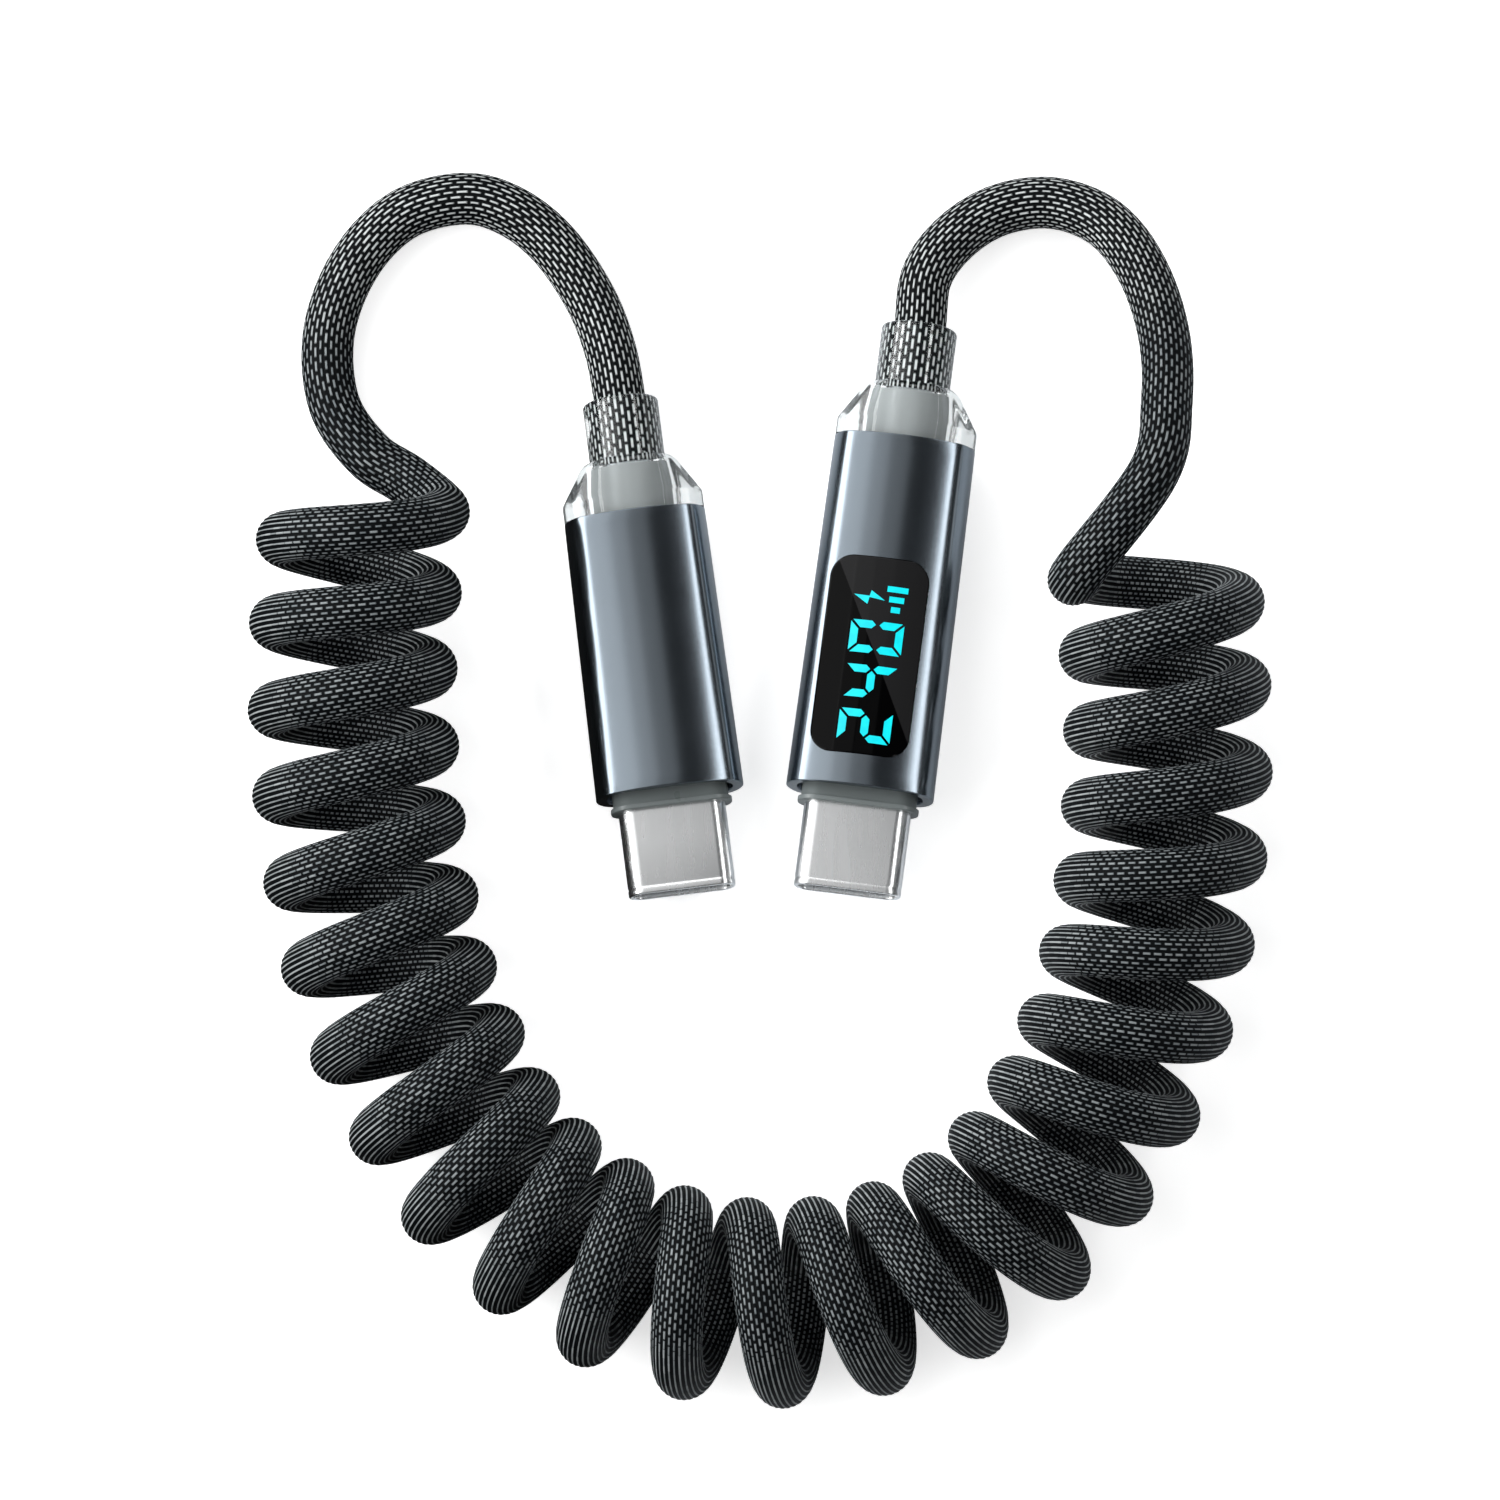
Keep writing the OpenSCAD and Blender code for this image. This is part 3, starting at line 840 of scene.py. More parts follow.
@dataclass
class Cord:
    """The braided cord, from inside one plug to inside the other."""

    plain: PlugPlace
    meter: PlugPlace
    plain_mouth: float
    meter_mouth: float
    stub: float
    diameter: float = 0.004
    ribs: int = 30
    rib_depth: float = 0.00006
    ring_gap: float = 0.00066
    lead_stitch: float = 0.00105
    coil_stitch: float = 0.00064
    # From each collar's mouth to a point on its bow
    plain_bend: tuple[float, float, float] = (-0.003, 0.009, 0.0)
    meter_bend: tuple[float, float, float] = (0.0065, 0.0085, 0.0)
    bow_len: float = 0.0308
    spring: Spring = Spring()
    # From the plain plug's collar over the arch, then down to the spring
    plain_bow: tuple = (
        (-0.0123, 0.0208, 0.003), (-0.0139, 0.025, 0.0025), (-0.0167, 0.0292, 0.0022),
        (-0.020, 0.0318, 0.00205), (-0.0236, 0.0327, 0.00205),
    )
    plain_drop: tuple = (
        (-0.0236, 0.0327, 0.00205), (-0.0282, 0.0314, 0.00205), (-0.0318, 0.0276, 0.00205),
        (-0.0338, 0.0222, 0.00205), (-0.0334, 0.0166, 0.00205), (-0.0308, 0.0126, 0.0023),
        (-0.0278, 0.0104, 0.0031),
    )
    # From the meter plug's collar over the arch, then on to the spring's end
    meter_bow: tuple = (
        (0.012, 0.0264, 0.003), (0.0142, 0.0296, 0.0025), (0.0176, 0.0318, 0.00215),
        (0.0218, 0.0323, 0.00225),
    )
    meter_drop: tuple = (
        (0.0218, 0.0323, 0.00225), (0.0258, 0.0304, 0.0034), (0.0286, 0.0262, 0.0054),
        (0.0302, 0.0206, 0.008), (0.0304, 0.0148, 0.0106), (0.0294, 0.009, 0.0121),
    )

    def __post_init__(self) -> None:
        """Works out the whole line, its frames and its stitches."""
        inner = self.plain_mouth - self.stub
        starts = [self.plain.at(0, inner + k * self.stub / 2) for k in range(3)]
        ends = [self.meter.at(0, self.meter_mouth - k * self.stub / 2) for k in range(3)]
        route = np.vstack(
            [
                starts,
                self.plain_bow[:-1],
                self.plain_drop,
                self.spring.points(),
                self.meter_drop[::-1],
                self.meter_bow[-2::-1],
                ends,
            ]
        )
        fine = spline(route, 12)
        reach = distances(fine)
        count = round(reach[-1] / self.ring_gap)
        self.reach = np.linspace(0, reach[-1], count + 1)
        self.line = np.stack([np.interp(self.reach, reach, fine[:, i]) for i in range(3)], 1)
        self.sides_of_line()
        self.plain_exit = self.nearest(self.plain.at(0, self.plain_mouth))
        self.meter_exit = self.nearest(self.meter.at(0, self.meter_mouth))
        rings = math.ceil(self.bow_len / (self.reach[1] - self.reach[0]))
        self.plain_top = self.plain_exit + rings
        self.meter_top = self.meter_exit - rings
        self.weave()

    def nearest(self, point: Sequence[float]) -> int:
        """Number of the ring nearest to a point."""
        return int(np.argmin(np.linalg.norm(self.line - np.array(point), axis=1)))

    def sides_of_line(self) -> None:
        """Carries a side vector along the line without twisting it."""
        self.heading = np.gradient(self.line, axis=0)
        self.heading /= np.linalg.norm(self.heading, axis=1)[:, None]
        side = np.cross(self.heading[0], (0, 0, 1.0))
        sides = []
        for heading in self.heading:
            side = side - heading * (side @ heading)
            side /= np.linalg.norm(side)
            sides.append(side)
        self.side = np.array(sides)
        self.up = np.cross(self.side, self.heading)

    def weave(self) -> None:
        """Counts stitches along the line, long on the leads and short on the spring."""
        start, end = self.nearest(self.plain_drop[-1]), self.nearest(self.meter_drop[-1])
        ramp, early = 0.012, 0.022

        def within(lead_in: float) -> np.ndarray:
            into = (self.reach - self.reach[start] + lead_in) / ramp
            out = (self.reach[end] - self.reach + lead_in) / ramp
            return np.clip(np.minimum(into, out), 0, 1)

        coiled = within(0.0)
        # Painted light on the leads' threads, fading to painted shade from early before the spring
        # onwards
        self.lead_weave_and_light = 1 - within(early)
        stitch = self.lead_stitch + (self.coil_stitch - self.lead_stitch) * coiled
        self.stitches = np.r_[0, np.cumsum(np.diff(self.reach) / stitch[1:])]
        # Painted highlight along the steep ends of the turns; the same number draws the stitches
        # there out long
        steep = np.abs(self.heading[:, 2])
        self.drawn = np.clip((steep - 0.55) / 0.35, 0, 1) * coiled

    def piece(
        self, name: str, first: int, last: int, material: bpy.types.Material, depth: float
    ) -> bpy.types.Object:
        """A stretch of the cord as a closed tube with a rib for each column of stitches.

        Args:
            name: The piece's name.
            first: Number of its first ring.
            last: Number of its last ring.
            material: Its finish.
            depth: Depth of the grooves between its ribs.

        Returns:
            The object, with its weave in a UV map and two attributes.
        """
        numbers = np.arange(first, last + 1)
        n, rows = self.ribs * 2, len(numbers)
        angle = 2 * math.pi * np.arange(n) / n
        circle = (
            np.cos(angle)[None, :, None] * self.side[numbers][:, None]
            + np.sin(angle)[None, :, None] * self.up[numbers][:, None]
        )
        radius = self.diameter / 2 - depth * (np.arange(n) % 2 == 0)
        points = self.line[numbers][:, None] + radius[None, :, None] * circle
        faces = band_faces(n, rows - 1, rows)
        faces += [tuple(range(n))[::-1], tuple((rows - 1) * n + k for k in range(n))]
        mesh = bpy.data.meshes.new(name)
        mesh.from_pydata(points.reshape(-1, 3).tolist(), [], faces)
        weave = mesh.uv_layers.new(name="Weave")
        uvs = []
        for i in range(rows - 1):
            low, high = self.stitches[first + i], self.stitches[first + i + 1]
            for k in range(n):
                left, right = k / n, (k + 1) / n
                uvs += [left, low, right, low, right, high, left, high]
        uvs += [0.0, self.stitches[first]] * n + [0.0, self.stitches[last]] * n
        weave.data.foreach_set("uv", uvs)
        for attribute, values in (("DrawnAndSheen", self.drawn), ("LeadWeaveAndLight", self.lead_weave_and_light)):
            layer = mesh.attributes.new(attribute, "FLOAT", "POINT")
            layer.data.foreach_set("value", np.repeat(values[numbers], n).astype(np.float32))
        turn_outwards(mesh)
        return dress(bpy.data.objects.new(name, mesh), material, 60.0)

    def declare(
        self, piece: bpy.types.Object, first: int, last: int, lay: str, *nodes: str
    ) -> None:
        """Hides the solids that a stretch of cord stands for."""
        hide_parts(*nodes)
        path = self.line[first : last + 1 : 3].tolist()
        if (last - first) % 3:
            path.append(self.line[last].tolist())

    def build(self, material: bpy.types.Material, covered: bpy.types.Material) -> None:
        """Makes the two bows, the spring with its drops, and the ends inside the plugs.

        Args:
            material: The braid's finish.
            covered: Its finish under clear plastic.
        """
        depth = self.rib_depth
        plain_bow = self.piece("plain_bow", self.plain_exit, self.plain_top, material, depth)
        spring = self.piece("spring_cord", self.plain_top, self.meter_top, material, depth)
        meter_bow = self.piece("meter_bow", self.meter_top, self.meter_exit, material, depth)
        self.plain.at(0, self.plain_mouth) + Vector(self.plain_bend)
        self.plain.at(0, self.plain_mouth)
        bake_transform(plain_bow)
        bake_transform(spring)
        self.meter.at(0, self.meter_mouth) + Vector(self.meter_bend)
        self.meter.at(0, self.meter_mouth)
        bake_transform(meter_bow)
        self.declare(plain_bow, self.plain_exit, self.plain_top, "loose", "plain_lead_bow")
        self.declare(
            spring, self.plain_top, self.meter_top, "coiled",
            "coil_left", "coil_bend", "coil_right", "plain_lead_drop", "meter_lead_drop",
        )
        self.declare(meter_bow, self.meter_top, self.meter_exit, "loose", "meter_lead_bow")
        for name, first, last, body in (
            ("plain", 0, self.plain_exit, Body.PLAIN_PLUG),
            ("meter", self.meter_exit, len(self.line) - 1, Body.METER_PLUG),
        ):
            stub = self.piece(f"{name}_cord_end", first, last, covered, 0.0)
            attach(stub, body.value)
            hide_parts(f"{name}_cord_stub")
        for piece in (plain_bow, spring, meter_bow):
            log.info("%s: %d faces", piece.name, len(piece.data.polygons))


# The plugs ------------------------------------------------------------------


@dataclass(frozen=True)
class Finishes:
    """The finished materials that the plugs share."""

    nickel: bpy.types.Material
    anodised: bpy.types.Material
    nose: bpy.types.Material
    clear: bpy.types.Material
    collar: bpy.types.Material
    gold: bpy.types.Material
    ferrule: bpy.types.Material
    tongue: bpy.types.Material
    latch: bpy.types.Material
    board: bpy.types.Material
    chip: bpy.types.Material
    inner: bpy.types.Material
    light_box: bpy.types.Material
    segments: bpy.types.Material


@dataclass
class Plug:
    """A plug: tip, nose, shell, clear tail and collar, and what they hold."""

    prefix: str
    body: Body
    place: PlugPlace
    shell_len: float
    finishes: Finishes
    rows: RepeatTree
    tip_w: float = 0.00825
    tip_t: float = 0.0024
    tip_len: float = 0.0066
    tip_end: float = 0.0099
    wall: float = 0.0003
    nose_gap: float = 0.0012
    front_w: float = 0.0114
    rear_w: float = 0.01085
    shell_t: float = 0.0066
    crown: float = 0.012
    belly: float = 0.0032
    cavity: tuple[float, float, float] = (0.0096, 0.0049, 0.0022)
    tail_len: float = 0.0043
    collar_len: float = 0.0048
    collar_d: float = 0.0058
    cord_d: float = 0.004
    ferrule_d: float = 0.0048
    spigot: float = 0.0022

    @property
    def shell_y(self) -> float:
        """Front of the shell."""
        return self.tip_len + self.nose_gap

    @property
    def rear_y(self) -> float:
        """Rear of the shell."""
        return self.shell_y + self.shell_len

    @property
    def mouth_y(self) -> float:
        """Where the cord leaves the collar."""
        return self.rear_y + self.tail_len + self.collar_len

    def fit(self, piece: bpy.types.Object, slot: Slot, *nodes: str) -> bpy.types.Object:
        """Puts a finished piece in place on its body.

        Args:
            piece: A piece drawn in the plug's own frame.
            slot: The record's slot of its finish; not used.
            nodes: The solids that it stands for.

        Returns:
            The piece.
        """
        piece.data.transform(self.place.matrix)
        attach(piece, self.body.value)
        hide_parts(*nodes)
        log.info("%s: %d faces", piece.name, len(piece.data.polygons))
        return piece

    def name(self, part: str) -> str:
        """A piece's or node's name on this plug."""
        return f"{self.prefix}_{part}"

    def tip(self) -> None:
        """The drawn metal tip: a stadium tube with a rolled lip."""
        outer = Outline.rounded(self.tip_w, self.tip_t, self.tip_t / 2, 16)
        inner = outer.inset(self.wall)
        lip, groove, start = self.wall / 2, 0.00004, 0.0005
        rings = [inner.ring(self.tip_end), inner.ring(0.0008)]
        for k in range(9):
            a = math.pi * k / 8
            rolled = outer.inset(self.wall - lip * (1 - math.cos(a)))
            rings.append(rolled.ring(lip * (1 - math.sin(a))))
        for y, depth in (
            (start, 0), (start + 0.00006, groove), (start + 0.00018, groove),
            (start + 0.00028, 0), (self.tip_len * 0.6, 0), (self.tip_end, 0),
        ):
            rings.append(outer.inset(depth).ring(y))
        piece = loft(self.name("tip_tube"), rings, self.finishes.nickel, hollow=True)
        self.fit(piece, Slot.TIP, self.name("tip"))

    def contacts(self) -> None:
        """Two rows of sprung contacts, each bar with a raised pad near its front."""
        count, pitch, half, pad = 12, 0.0005, 0.000125, 0.00008
        front, rear, z, t = 0.0012, 0.01, 0.000375, 0.00015
        stations = [
            (front, 0.0), (front + 0.0004, pad * 0.3), (front + 0.0009, pad),
            (front + 0.0013, pad), (front + 0.0019, pad * 0.2), (front + 0.0025, 0.0), (rear, 0.0),
        ]
        for part, way in (("upper", 1), ("lower", -1)):
            rings = []
            for y, lift in stations:
                low, high = z - t / 2 - lift, z + t / 2
                x = -pitch * (count - 1) / 2
                corners = [(x - half, low), (x + half, low), (x + half, high), (x - half, high)]
                rings.append(np.array([(cx, y, way * cz) for cx, cz in corners]))
            piece = loft(self.name(f"contact_springs_{part}"), rings, self.finishes.gold)
            self.rows.apply(piece, count, (pitch, 0, 0))
            self.fit(piece, Slot.CONTACT, self.name(f"contacts_{part}"))

    def nose(self) -> None:
        """The dark nose: a flange round the tip, and a neck that runs into the shell."""
        bore = Outline.rounded(self.tip_w, self.tip_t, self.tip_t / 2)
        flange = Outline.rounded(0.00935, 0.0035, 0.00155)
        neck = Outline.rounded(0.0089, 0.0032, 0.0015)
        block = Outline.rounded(0.00955, 0.00485, self.cavity[2])
        front, step, ease = self.tip_len, 0.0004, 0.00012
        neck_end, block_end = self.shell_y + 0.0014, self.shell_y + 0.0022
        rings = [bore.ring(block_end), bore.ring(front)]
        rings += eased(flange, front, ease, 1)
        rings += eased(flange, front + step, ease / 2, -1)[::-1]
        rings += [neck.inset(-ease / 2).ring(front + step), neck.ring(front + step + ease)]
        rings += [neck.ring(neck_end), block.ring(neck_end), block.ring(block_end)]
        piece = loft(self.name("nose_block"), rings, self.finishes.nose, hollow=True)
        self.fit(piece, Slot.NOSE, self.name("nose"))

    def shell_outline(self, w: float) -> Outline:
        """The shell's outline: round sides, crowned top and a flat belly."""
        half, r = self.shell_t / 2, self.crown

        def inside(x: float, z: float) -> bool:
            side = max(abs(x) - (w / 2 - half), 0.0)
            return (
                math.hypot(side, z) < half
                and math.hypot(x, z - (half - r)) < r
                and math.hypot(x, z + (half - r)) < r
                and z > -self.belly
            )

        return Outline.cast(inside, w, ROUND_POINTS)

    def shell_piece(self) -> bpy.types.Object:
        """The anodised shell as a tube with eased rims."""
        front, rear = self.shell_outline(self.front_w), self.shell_outline(self.rear_w)
        hole = Outline.cast(self.in_cavity, self.front_w, ROUND_POINTS)
        ease, y0, y1 = 0.0001, self.shell_y, self.rear_y
        rings = [hole.ring(y1), hole.ring(y0 + ease), hole.inset(-ease * 0.7).ring(y0)]
        rings += eased(front, y0, ease, 1)
        for k in range(1, 24):
            share = k / 24
            mixed = Outline(front.points * (1 - share) + rear.points * share)
            rings.append(mixed.ring(y0 + (y1 - y0) * share))
        rings += eased(rear, y1, ease, -1)[::-1]
        return loft(self.name("shell_tube"), rings, self.finishes.anodised, hollow=True)

    def in_cavity(self, x: float, z: float) -> bool:
        """Says if a point of the cross-section lies in the shell's cavity."""
        w, t, r = self.cavity
        across, up = max(abs(x) - (w / 2 - r), 0.0), max(abs(z) - (t / 2 - r), 0.0)
        return math.hypot(across, up) < r

    def shell(self) -> None:
        """Fits the shell."""
        self.fit(self.shell_piece(), Slot.SHELL, self.name("shell"))

    def tail_outline(self, half_w: float, half_t: float, facet: float) -> Outline:
        """A cut-stone outline: a flat top facet, a steep band and sloping sides.

        Args:
            half_w: Half its width.
            half_t: Half its thickness.
            facet: Half the width of the top facet.

        Returns:
            The outline, with its corners eased.
        """
        room = half_w - facet
        quarter = [
            (half_w, 0.0), (half_w, half_t * 0.34), (facet + room * 0.72, half_t * 0.6),
            (facet + room * 0.3, half_t * 0.74), (facet, half_t), (facet * 0.5, half_t),
            (0.0, half_t),
        ]
        left = [(-x, z) for x, z in quarter[-2::-1]]
        top = quarter + left
        corners = np.array(top + [(x, -z) for x, z in top[-2:0:-1]])
        closed = np.vstack([corners, corners[:1]])
        reach = distances(closed)
        even = np.linspace(0, reach[-1], ROUND_POINTS + 1)[:-1]
        dense = np.stack([np.interp(even, reach, closed[:, i]) for i in (0, 1)], 1)
        return Outline(softened(dense, 3))

    def tail(self) -> None:
        """The clear tail: straight, then bevelled to its rear shoulders."""
        y = self.rear_y
        wide = (self.rear_w / 2 - 0.00005, 0.00315, 0.00235)
        stations = [
            (y, *wide), (y + 0.00125, *wide), (y + 0.0014, 0.00529, 0.00315, 0.00235),
            (y + 0.0038, 0.0038, 0.00305, 0.0023), (y + 0.00395, 0.00368, 0.003, 0.00227),
            (y + 0.0042, 0.0034, 0.0029, 0.0021), (y + self.tail_len, 0.0032, 0.0028, 0.002),
        ]
        rings = [self.tail_outline(w, t, f).ring(at) for at, w, t, f in stations]
        grip, reach = 0.00002, 0.01
        bore, wide_bore = (
            Outline.cast(lambda a, b, r=d / 2 - grip: math.hypot(a, b) < r, reach, ROUND_POINTS)
            for d in (self.cord_d, self.ferrule_d)
        )
        plug = Outline.cast(self.in_cavity, self.front_w, ROUND_POINTS)
        fit, ledge = 0.00003, y + 0.0038
        rings += [bore.ring(y + self.tail_len), bore.ring(ledge), wide_bore.ring(ledge)]
        rings += [wide_bore.ring(y - self.spigot), plug.inset(fit).ring(y - self.spigot)]
        rings += [plug.inset(fit).ring(y)]
        piece = loft(self.name("clear_tail"), rings, self.finishes.clear, hollow=True, sharp=30)
        piece.visible_shadow = False
        self.fit(piece, Slot.CLEAR, self.name("tail"))

    def collar(self) -> None:
        """The clear collar moulded onto the cord."""
        outer = Outline.rounded(self.collar_d, self.collar_d, self.collar_d / 2, 24)
        bore = self.cord_d - 0.00004
        inner = Outline.rounded(bore, bore, bore / 2, 24)
        y0, y1, ease = self.rear_y + self.tail_len, self.mouth_y, 0.00035
        rings = [inner.ring(y0), outer.ring(y0), outer.ring((y0 + y1) / 2)]
        rings += eased(outer, y1, ease, -1, 6)[::-1]
        rings += [inner.ring(y1)]
        piece = loft(self.name("clear_collar"), rings, self.finishes.collar, hollow=True, sharp=50)
        piece.visible_shadow = False
        self.fit(piece, Slot.CLEAR, self.name("collar"))

    def ferrule(self) -> None:
        """The sleeve on the cord, pressed in rings where the shell hides it."""
        outer = Outline.rounded(self.ferrule_d, self.ferrule_d, self.ferrule_d / 2, 16)
        inner = Outline.rounded(self.cord_d, self.cord_d, self.cord_d / 2, 16)
        start, end, pressed, ease = self.rear_y - 0.0015, self.rear_y + 0.0038, 0.00012, 0.00025
        rings = [inner.ring(start), outer.inset(pressed).ring(start)]
        for k in range(3):
            y = start + 0.00012 + 0.0004 * k
            rings += [outer.inset(pressed).ring(y), outer.ring(y + 0.0001)]
            rings += [outer.ring(y + 0.0002), outer.inset(pressed).ring(y + 0.0003)]
        rings += [outer.ring(self.rear_y)]
        rings += eased(outer, end, ease, -1)[::-1]
        rings += [inner.ring(end)]
        piece = loft(self.name("crimp_ring"), rings, self.finishes.ferrule, hollow=True)
        self.fit(piece, Slot.CRIMP, self.name("crimp"))

    def inside(self) -> None:
        """Finishes for the solids that stay as they are."""
        middle = self.place.at(0, 0)
        wires = WireFinish(
            name=self.name("wire insulation"), middle=(middle.x, middle.y), turn=self.place.turn
        ).build()
        kept = {
            "insulator": self.finishes.tongue,
            "latches": self.finishes.latch,
            "board": self.finishes.board,
            "chip": self.finishes.chip,
            "inner_base": self.finishes.inner,
            "wires": wires,
        }
        for part, material in kept.items():
            finish_node(self.name(part), material)

    def build(self) -> None:
        """Makes every piece of the plug."""
        self.tip()
        self.contacts()
        self.nose()
        self.shell()
        self.tail()
        self.collar()
        self.ferrule()
        self.inside()


def finish_node(node: str, material: bpy.types.Material) -> None:
    """Gives a solid of the frame a finish."""
    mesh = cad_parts[node].data
    mesh.materials.clear()
    mesh.materials.append(material)


@dataclass
class PlainPlug(Plug):
    """The plug without a display."""

    def inside(self) -> None:
        """Adds the inner cap's finish."""
        super().inside()
        finish_node("plain_inner_cap", self.finishes.inner)


@dataclass
class MeterPlug(Plug):
    """The plug with the power meter's display."""

    window_w: float = 0.0076
    window_len: float = 0.0155
    window_r: float = 0.0017
    window_x: float = -0.0005
    window_y: float = 0.0102
    window_low: float = 0.00217
    ledge: float = 0.002
    gap: float = 0.00003

    def crown_z(self, x: np.ndarray) -> np.ndarray:
        """Height of the crowned top across the plug."""
        return self.shell_t / 2 - self.crown + np.sqrt(self.crown**2 - x**2)

    def window_ring(self, grow: float, z: float | None, lower_by: float = 0.0) -> np.ndarray:
        """The window's outline, with as many points on its rear edge as on its front edge.

        Args:
            grow: How far the outline is moved outwards.
            z: A flat height, or None to follow the crown.
            lower_by: How far it lies under the crown.

        Returns:
            The ring: the front edge along +X, then the rear edge back.
        """
        half, r, columns = self.window_w / 2 + grow, self.window_r + grow, 48
        x = -half * np.cos(np.pi * np.arange(columns) / (columns - 1))
        corner = np.maximum(np.abs(x) - (half - r), 0)
        reach = self.window_len / 2 + grow - r + np.sqrt(np.maximum(r**2 - corner**2, 0))
        across = np.r_[x, x[::-1]] + self.window_x
        along = np.r_[-reach, reach[::-1]] + self.window_y + self.window_len / 2
        height = np.full(len(across), z) if z is not None else self.crown_z(across) - lower_by
        return np.stack([across, along, height], 1)

    def shell_piece(self) -> bpy.types.Object:
        """The shell, with the window's pocket cut out of its crown."""
        piece = super().shell_piece()
        above = self.shell_t
        cutter = loft(
            "window_cutter",
            [self.window_ring(self.gap, self.ledge), self.window_ring(self.gap, above)],
            self.finishes.anodised,
        )
        cut = piece.modifiers.new("pocket", "BOOLEAN")
        cut.object, cut.operation, cut.solver = cutter, "DIFFERENCE", "EXACT"
        apply_modifiers(piece)
        bpy.data.objects.remove(cutter)
        return dress(piece, self.finishes.anodised)

    def window(self) -> None:
        """The black glass, flush with the crown, with a narrow bevel."""
        # The glass's painted reflection begins at a slanted line through the corner below, turned
        # by this heading
        inset, painted_glare_heading = 0.0006, Vector((0.89, 0.455, 0))
        corner = self.place.at(
            self.window_x - self.window_w / 2 + inset, self.window_y + self.window_len - inset
        )
        heading = self.place.matrix.to_3x3() @ painted_glare_heading
        glass = WindowFinish(
            corner=(corner.x, corner.y), slant=(heading.x, heading.y)
        ).build()
        bevel = 0.00008
        rings = [
            self.window_ring(0, self.window_low),
            self.window_ring(0, None, bevel),
            self.window_ring(-bevel * 0.3, None, bevel * 0.3),
            self.window_ring(-bevel, None),
        ]
        n = len(rings[0])
        faces = band_faces(n, len(rings) - 1, len(rings))
        for base in (0, (len(rings) - 1) * n):
            faces += [
                (base + k, base + k + 1, base + n - 2 - k, base + n - 1 - k)
                for k in range(n // 2 - 1)
            ]
        piece = mesh_object("meter_window_glass", np.concatenate(rings), faces, glass, 15.0)
        self.fit(piece, Slot.WINDOW, "display_window")

    def inside(self) -> None:
        """Adds the display's finishes."""
        super().inside()
        finish_node("meter_board_pins", self.finishes.gold)
        finish_node("display_board", self.finishes.board)
        finish_node("display_light_box", self.finishes.light_box)
        finish_node("display_segments", self.finishes.segments)

    def build(self) -> None:
        """Makes every piece of the plug and its display."""
        super().build()
        self.window()


# The studio -----------------------------------------------------------------


@dataclass(frozen=True)
class Softbox:
    """A flat lamp that points at the middle of the cable."""

    name: str
    angle: float
    tilt: float
    distance: float
    size: Point2
    power: float

    def build(self) -> None:
        """Hangs the lamp: angle leans it towards -X, tilt towards +Y, its length runs along Y."""
        data = bpy.data.lights.new(self.name, "AREA")
        data.shape = "RECTANGLE"
        data.size, data.size_y = self.size
        data.energy = self.power
        lamp = bpy.data.objects.new(self.name, data)
        a, b = math.radians(self.angle), math.radians(self.tilt)
        away = Vector((-math.sin(a), math.cos(a) * math.sin(b), math.cos(a) * math.cos(b)))
        along = (Vector((0, 1, 0)) - away * away.y).normalized()
        turn = Matrix((along.cross(away), along, away)).transposed()
        lamp.matrix_world = Matrix.Translation(away * self.distance) @ turn.to_4x4()
        bpy.context.scene.collection.objects.link(lamp)


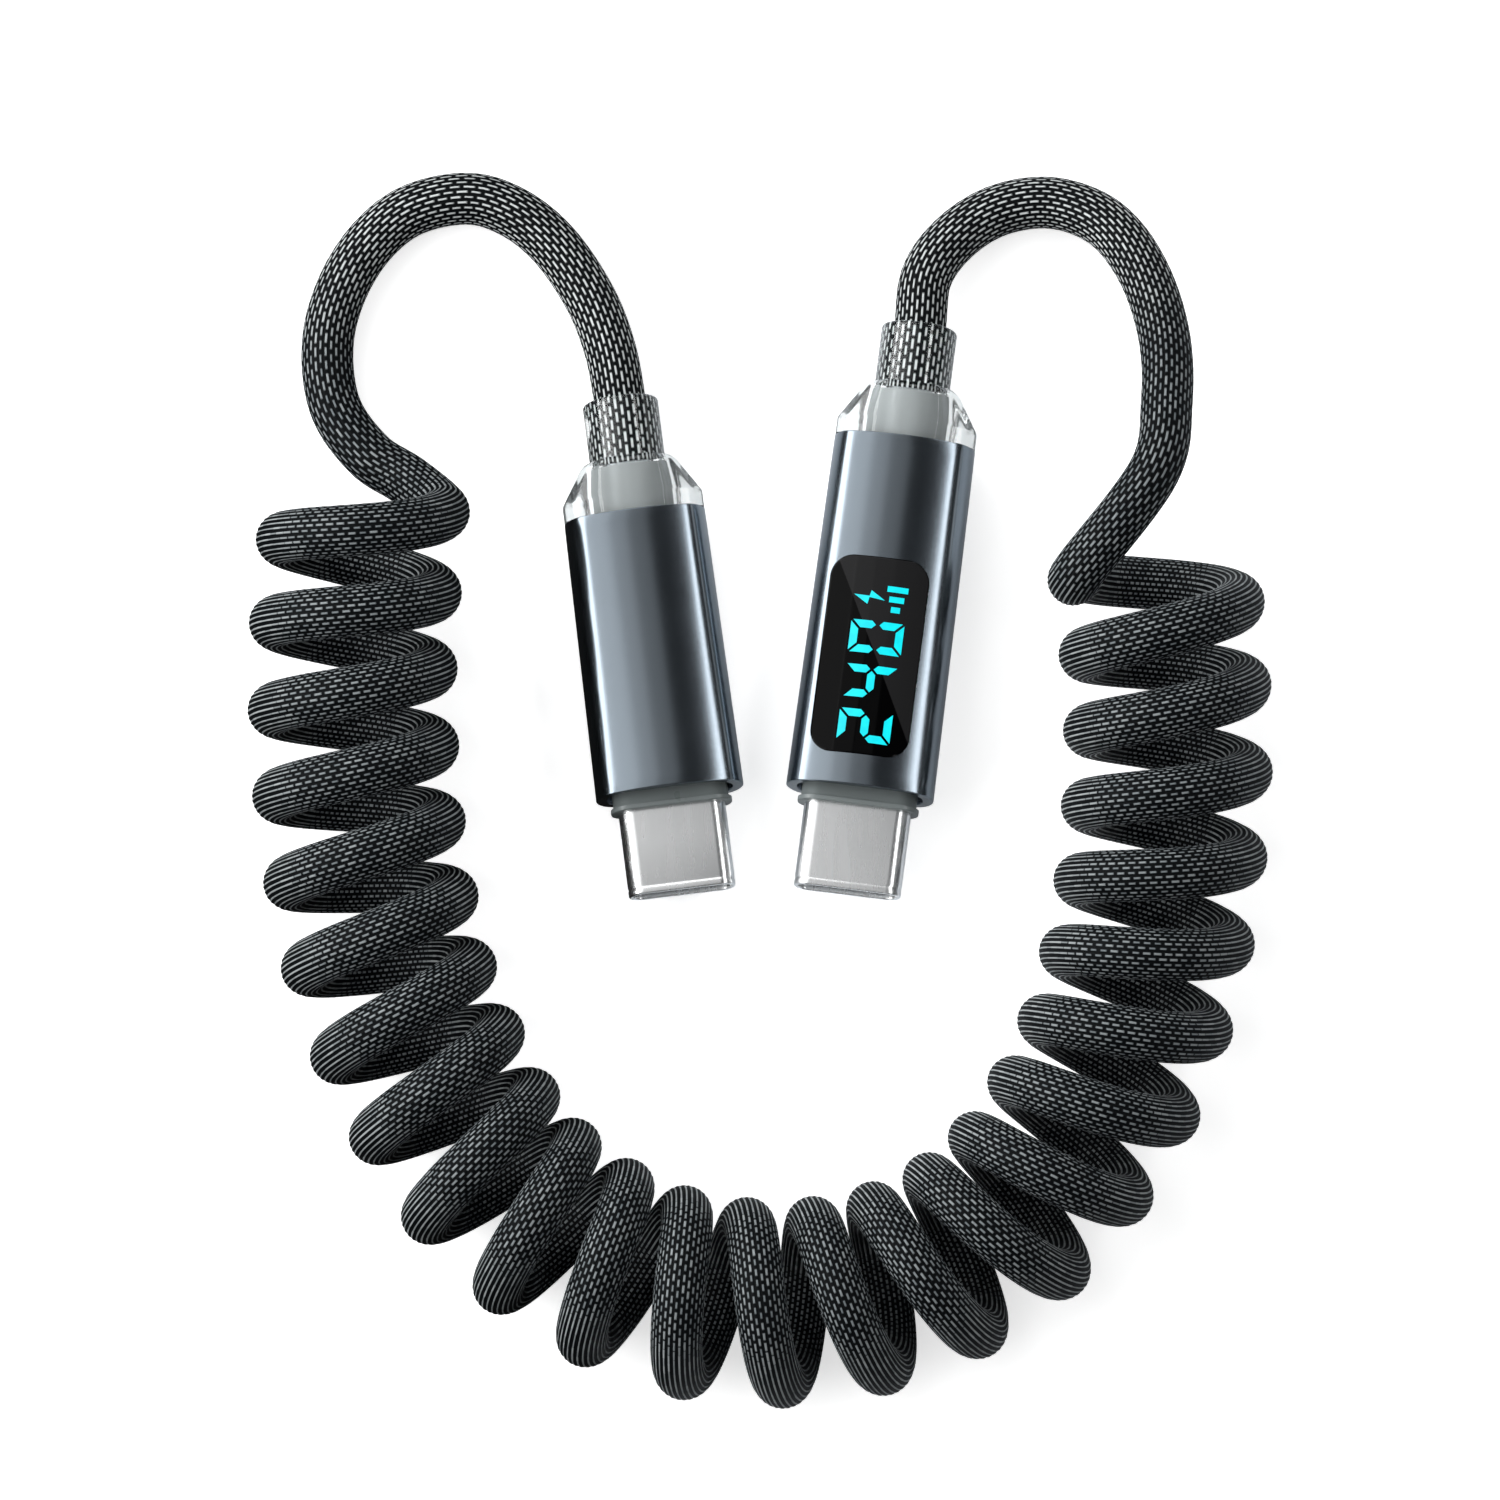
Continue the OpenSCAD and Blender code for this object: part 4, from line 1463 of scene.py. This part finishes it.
@dataclass(frozen=True)
class Studio:
    """A pale floor, soft lamps and the camera."""

    view_elevation: float = 77.5
    view_width: float = 0.11494
    view_middle: tuple[float, float, float] = (-0.00153, -0.01083, 0.0032)
    # Where the floor's painted reflection turns from dark to blue-grey
    painted_reflection_split: float = -0.0105
    lamps: tuple[Softbox, ...] = (
        Softbox("low_left", 60, 12, 0.5, (0.32, 0.9), 5.0),
        Softbox("wash_left", 31, 12, 0.5, (0.16, 0.9), 0.7),
        Softbox("wash_middle", 15, 12, 0.5, (0.13, 0.9), 0.33),
        Softbox("wash_top", 0, 12, 0.5, (0.12, 0.9), 0.14),
        Softbox("strip_right", -40, 12, 0.5, (0.07, 0.9), 1.15),
        Softbox("side_right", -78, 10, 0.5, (0.16, 0.9), 0.35),
        Softbox("back_fill", 20, 66, 0.6, (0.7, 0.25), 0.9),
        Softbox("front_fill", 10, -62, 0.6, (0.7, 0.2), 0.15),
    )

    def camera(self) -> None:
        """A distant camera above the cable, leaning towards the front."""
        data = bpy.data.cameras.new("camera")
        data.type = "ORTHO"
        data.ortho_scale = self.view_width
        data.clip_start, data.clip_end = 0.01, 10.0
        camera = bpy.data.objects.new("camera", data)
        e = math.radians(self.view_elevation)
        back = Vector((0, -math.cos(e), math.sin(e)))
        camera.location = Vector(self.view_middle) + back * 0.8
        camera.rotation_mode = "QUATERNION"
        camera.rotation_quaternion = (-back).to_track_quat("-Z", "Y")
        bpy.context.scene.collection.objects.link(camera)
        bpy.context.scene.camera = camera

    def floor(self) -> None:
        """A wide pale floor just under the cable."""
        half, low = 1.5, -0.00002
        s = Surface("pale floor")
        material = s.finish(
            Base_Color=(0.9, 0.9, 0.9),
            Roughness=0.8,
            Specular_IOR_Level=0.0,
            Emission_Color=(1.0, 1.0, 1.0),
            Emission_Strength=0.62,
        )
        # The eye sees the floor pale, also through clear plastic, but it doesn't light the cable;
        # glossy rays see a painted reflection, dark left of the split and blue-grey right of it
        path = s.add("ShaderNodeLightPath").outputs
        x, _, _ = s.split(s.place())
        painted_pale_reflection = Field(s, path["Is Glossy Ray"]) * (x > self.painted_reflection_split)
        shade = s.blend(painted_pale_reflection, (0.03, 0.03, 0.03), (0.75, 0.79, 0.83))
        dim = s.add("ShaderNodeBsdfDiffuse", None, {"Color": shade})
        seen = Field(s, path["Is Camera Ray"]).max(Field(s, path["Is Transmission Ray"]))
        pale = s.output.inputs["Surface"].links[0].from_socket
        both = s.add("ShaderNodeMixShader", None, {0: seen, 1: dim.outputs[0], 2: pale})
        s.tree.links.new(both.outputs[0], s.output.inputs["Surface"])
        sides = ((-half, -half), (half, -half), (half, half), (-half, half))
        corners = np.array([(x, y, low) for x, y in sides])
        mesh = bpy.data.meshes.new("floor")
        mesh.from_pydata(corners.tolist(), [], [(0, 1, 2, 3)])
        dress(bpy.data.objects.new("floor", mesh), material)

    def light(self) -> None:
        """The lamps and an even dim surround."""
        for lamp in self.lamps:
            lamp.build()
        world = bpy.data.worlds.new("surround")
        world.use_nodes = True
        nodes, link = world.node_tree.nodes, world.node_tree.links.new
        dim, pale = nodes["Background"], nodes.new("ShaderNodeBackground")
        dim.inputs["Color"].default_value = (0.9, 0.95, 1.0, 1.0)
        dim.inputs["Strength"].default_value = 0.04
        pale.inputs["Color"].default_value = (1.0, 1.0, 1.0, 1.0)
        path, both = nodes.new("ShaderNodeLightPath"), nodes.new("ShaderNodeMixShader")
        link(path.outputs["Is Camera Ray"], both.inputs[0])
        link(dim.outputs[0], both.inputs[1])
        link(pale.outputs[0], both.inputs[2])
        link(both.outputs[0], nodes["World Output"].inputs["Surface"])
        bpy.context.scene.world = world
        bpy.context.scene.view_settings.view_transform = "Standard"


def main() -> None:
    """Builds the studio, the cord and the two plugs."""
    logging.basicConfig(level=logging.INFO, format="%(name)s %(message)s")
    studio = Studio()
    studio.camera()
    plain_place = PlugPlace((-0.0067, -0.022, 0.0032), math.radians(7.1))
    meter_place = PlugPlace((0.0059, -0.022, 0.0032), math.radians(-7.2))
    finishes = Finishes(
        nickel=MetalFinish(
            "bright nickel", (0.95, 0.96, 0.965), 0.27, grain_scale=2200.0,
            grain_depth=0.0, stretch=(1, 0.1, 1), mottle=0.02,
        ).build(),
        anodised=MetalFinish("anodised shell", (0.2, 0.232, 0.262), 0.2, grain_depth=0.001).build(),
        nose=PlasticFinish("dark nose", (0.15, 0.17, 0.17), 0.3, texture_depth=0.002).build(),
        clear=ClearFinish("clear tail", (0.74, 0.77, 0.78), rough=0.12).build(),
        collar=ClearFinish("clear collar", rough=0.16, ripple=0.0).build(),
        gold=MetalFinish("gold plate", (0.9, 0.65, 0.28), 0.22).build(),
        ferrule=PlasticFinish("crimp sleeve", (0.22, 0.235, 0.235), 0.5).build(),
        tongue=PlasticFinish("black tongue", (0.012, 0.012, 0.013), 0.5).build(),
        latch=MetalFinish("latch steel", (0.6, 0.61, 0.63), 0.3).build(),
        board=CircuitFinish().build(),
        chip=PlasticFinish("chip case", (0.015, 0.015, 0.016), 0.55).build(),
        inner=PlasticFinish("inner moulding", (0.7, 0.7, 0.68), 0.5).build(),
        light_box=PlasticFinish("light box", (0.8, 0.8, 0.79), 0.45).build(),
        segments=LampFinish().build(),
    )
    rows = RepeatTree()
    plain = PlainPlug("plain", Body.PLAIN_PLUG, plain_place, 0.0219, finishes, rows)
    meter = MeterPlug("meter", Body.METER_PLUG, meter_place, 0.0277, finishes, rows)
    stub = plain.mouth_y - plain.rear_y + 0.0015
    cord = Cord(plain_place, meter_place, plain.mouth_y, meter.mouth_y, stub)
    cord.build(BraidFinish().build(), BraidFinish("covered braid", relief=0).build())
    plain.build()
    meter.build()
    studio.floor()
    studio.light()


if __name__ == "__main__":
    main()
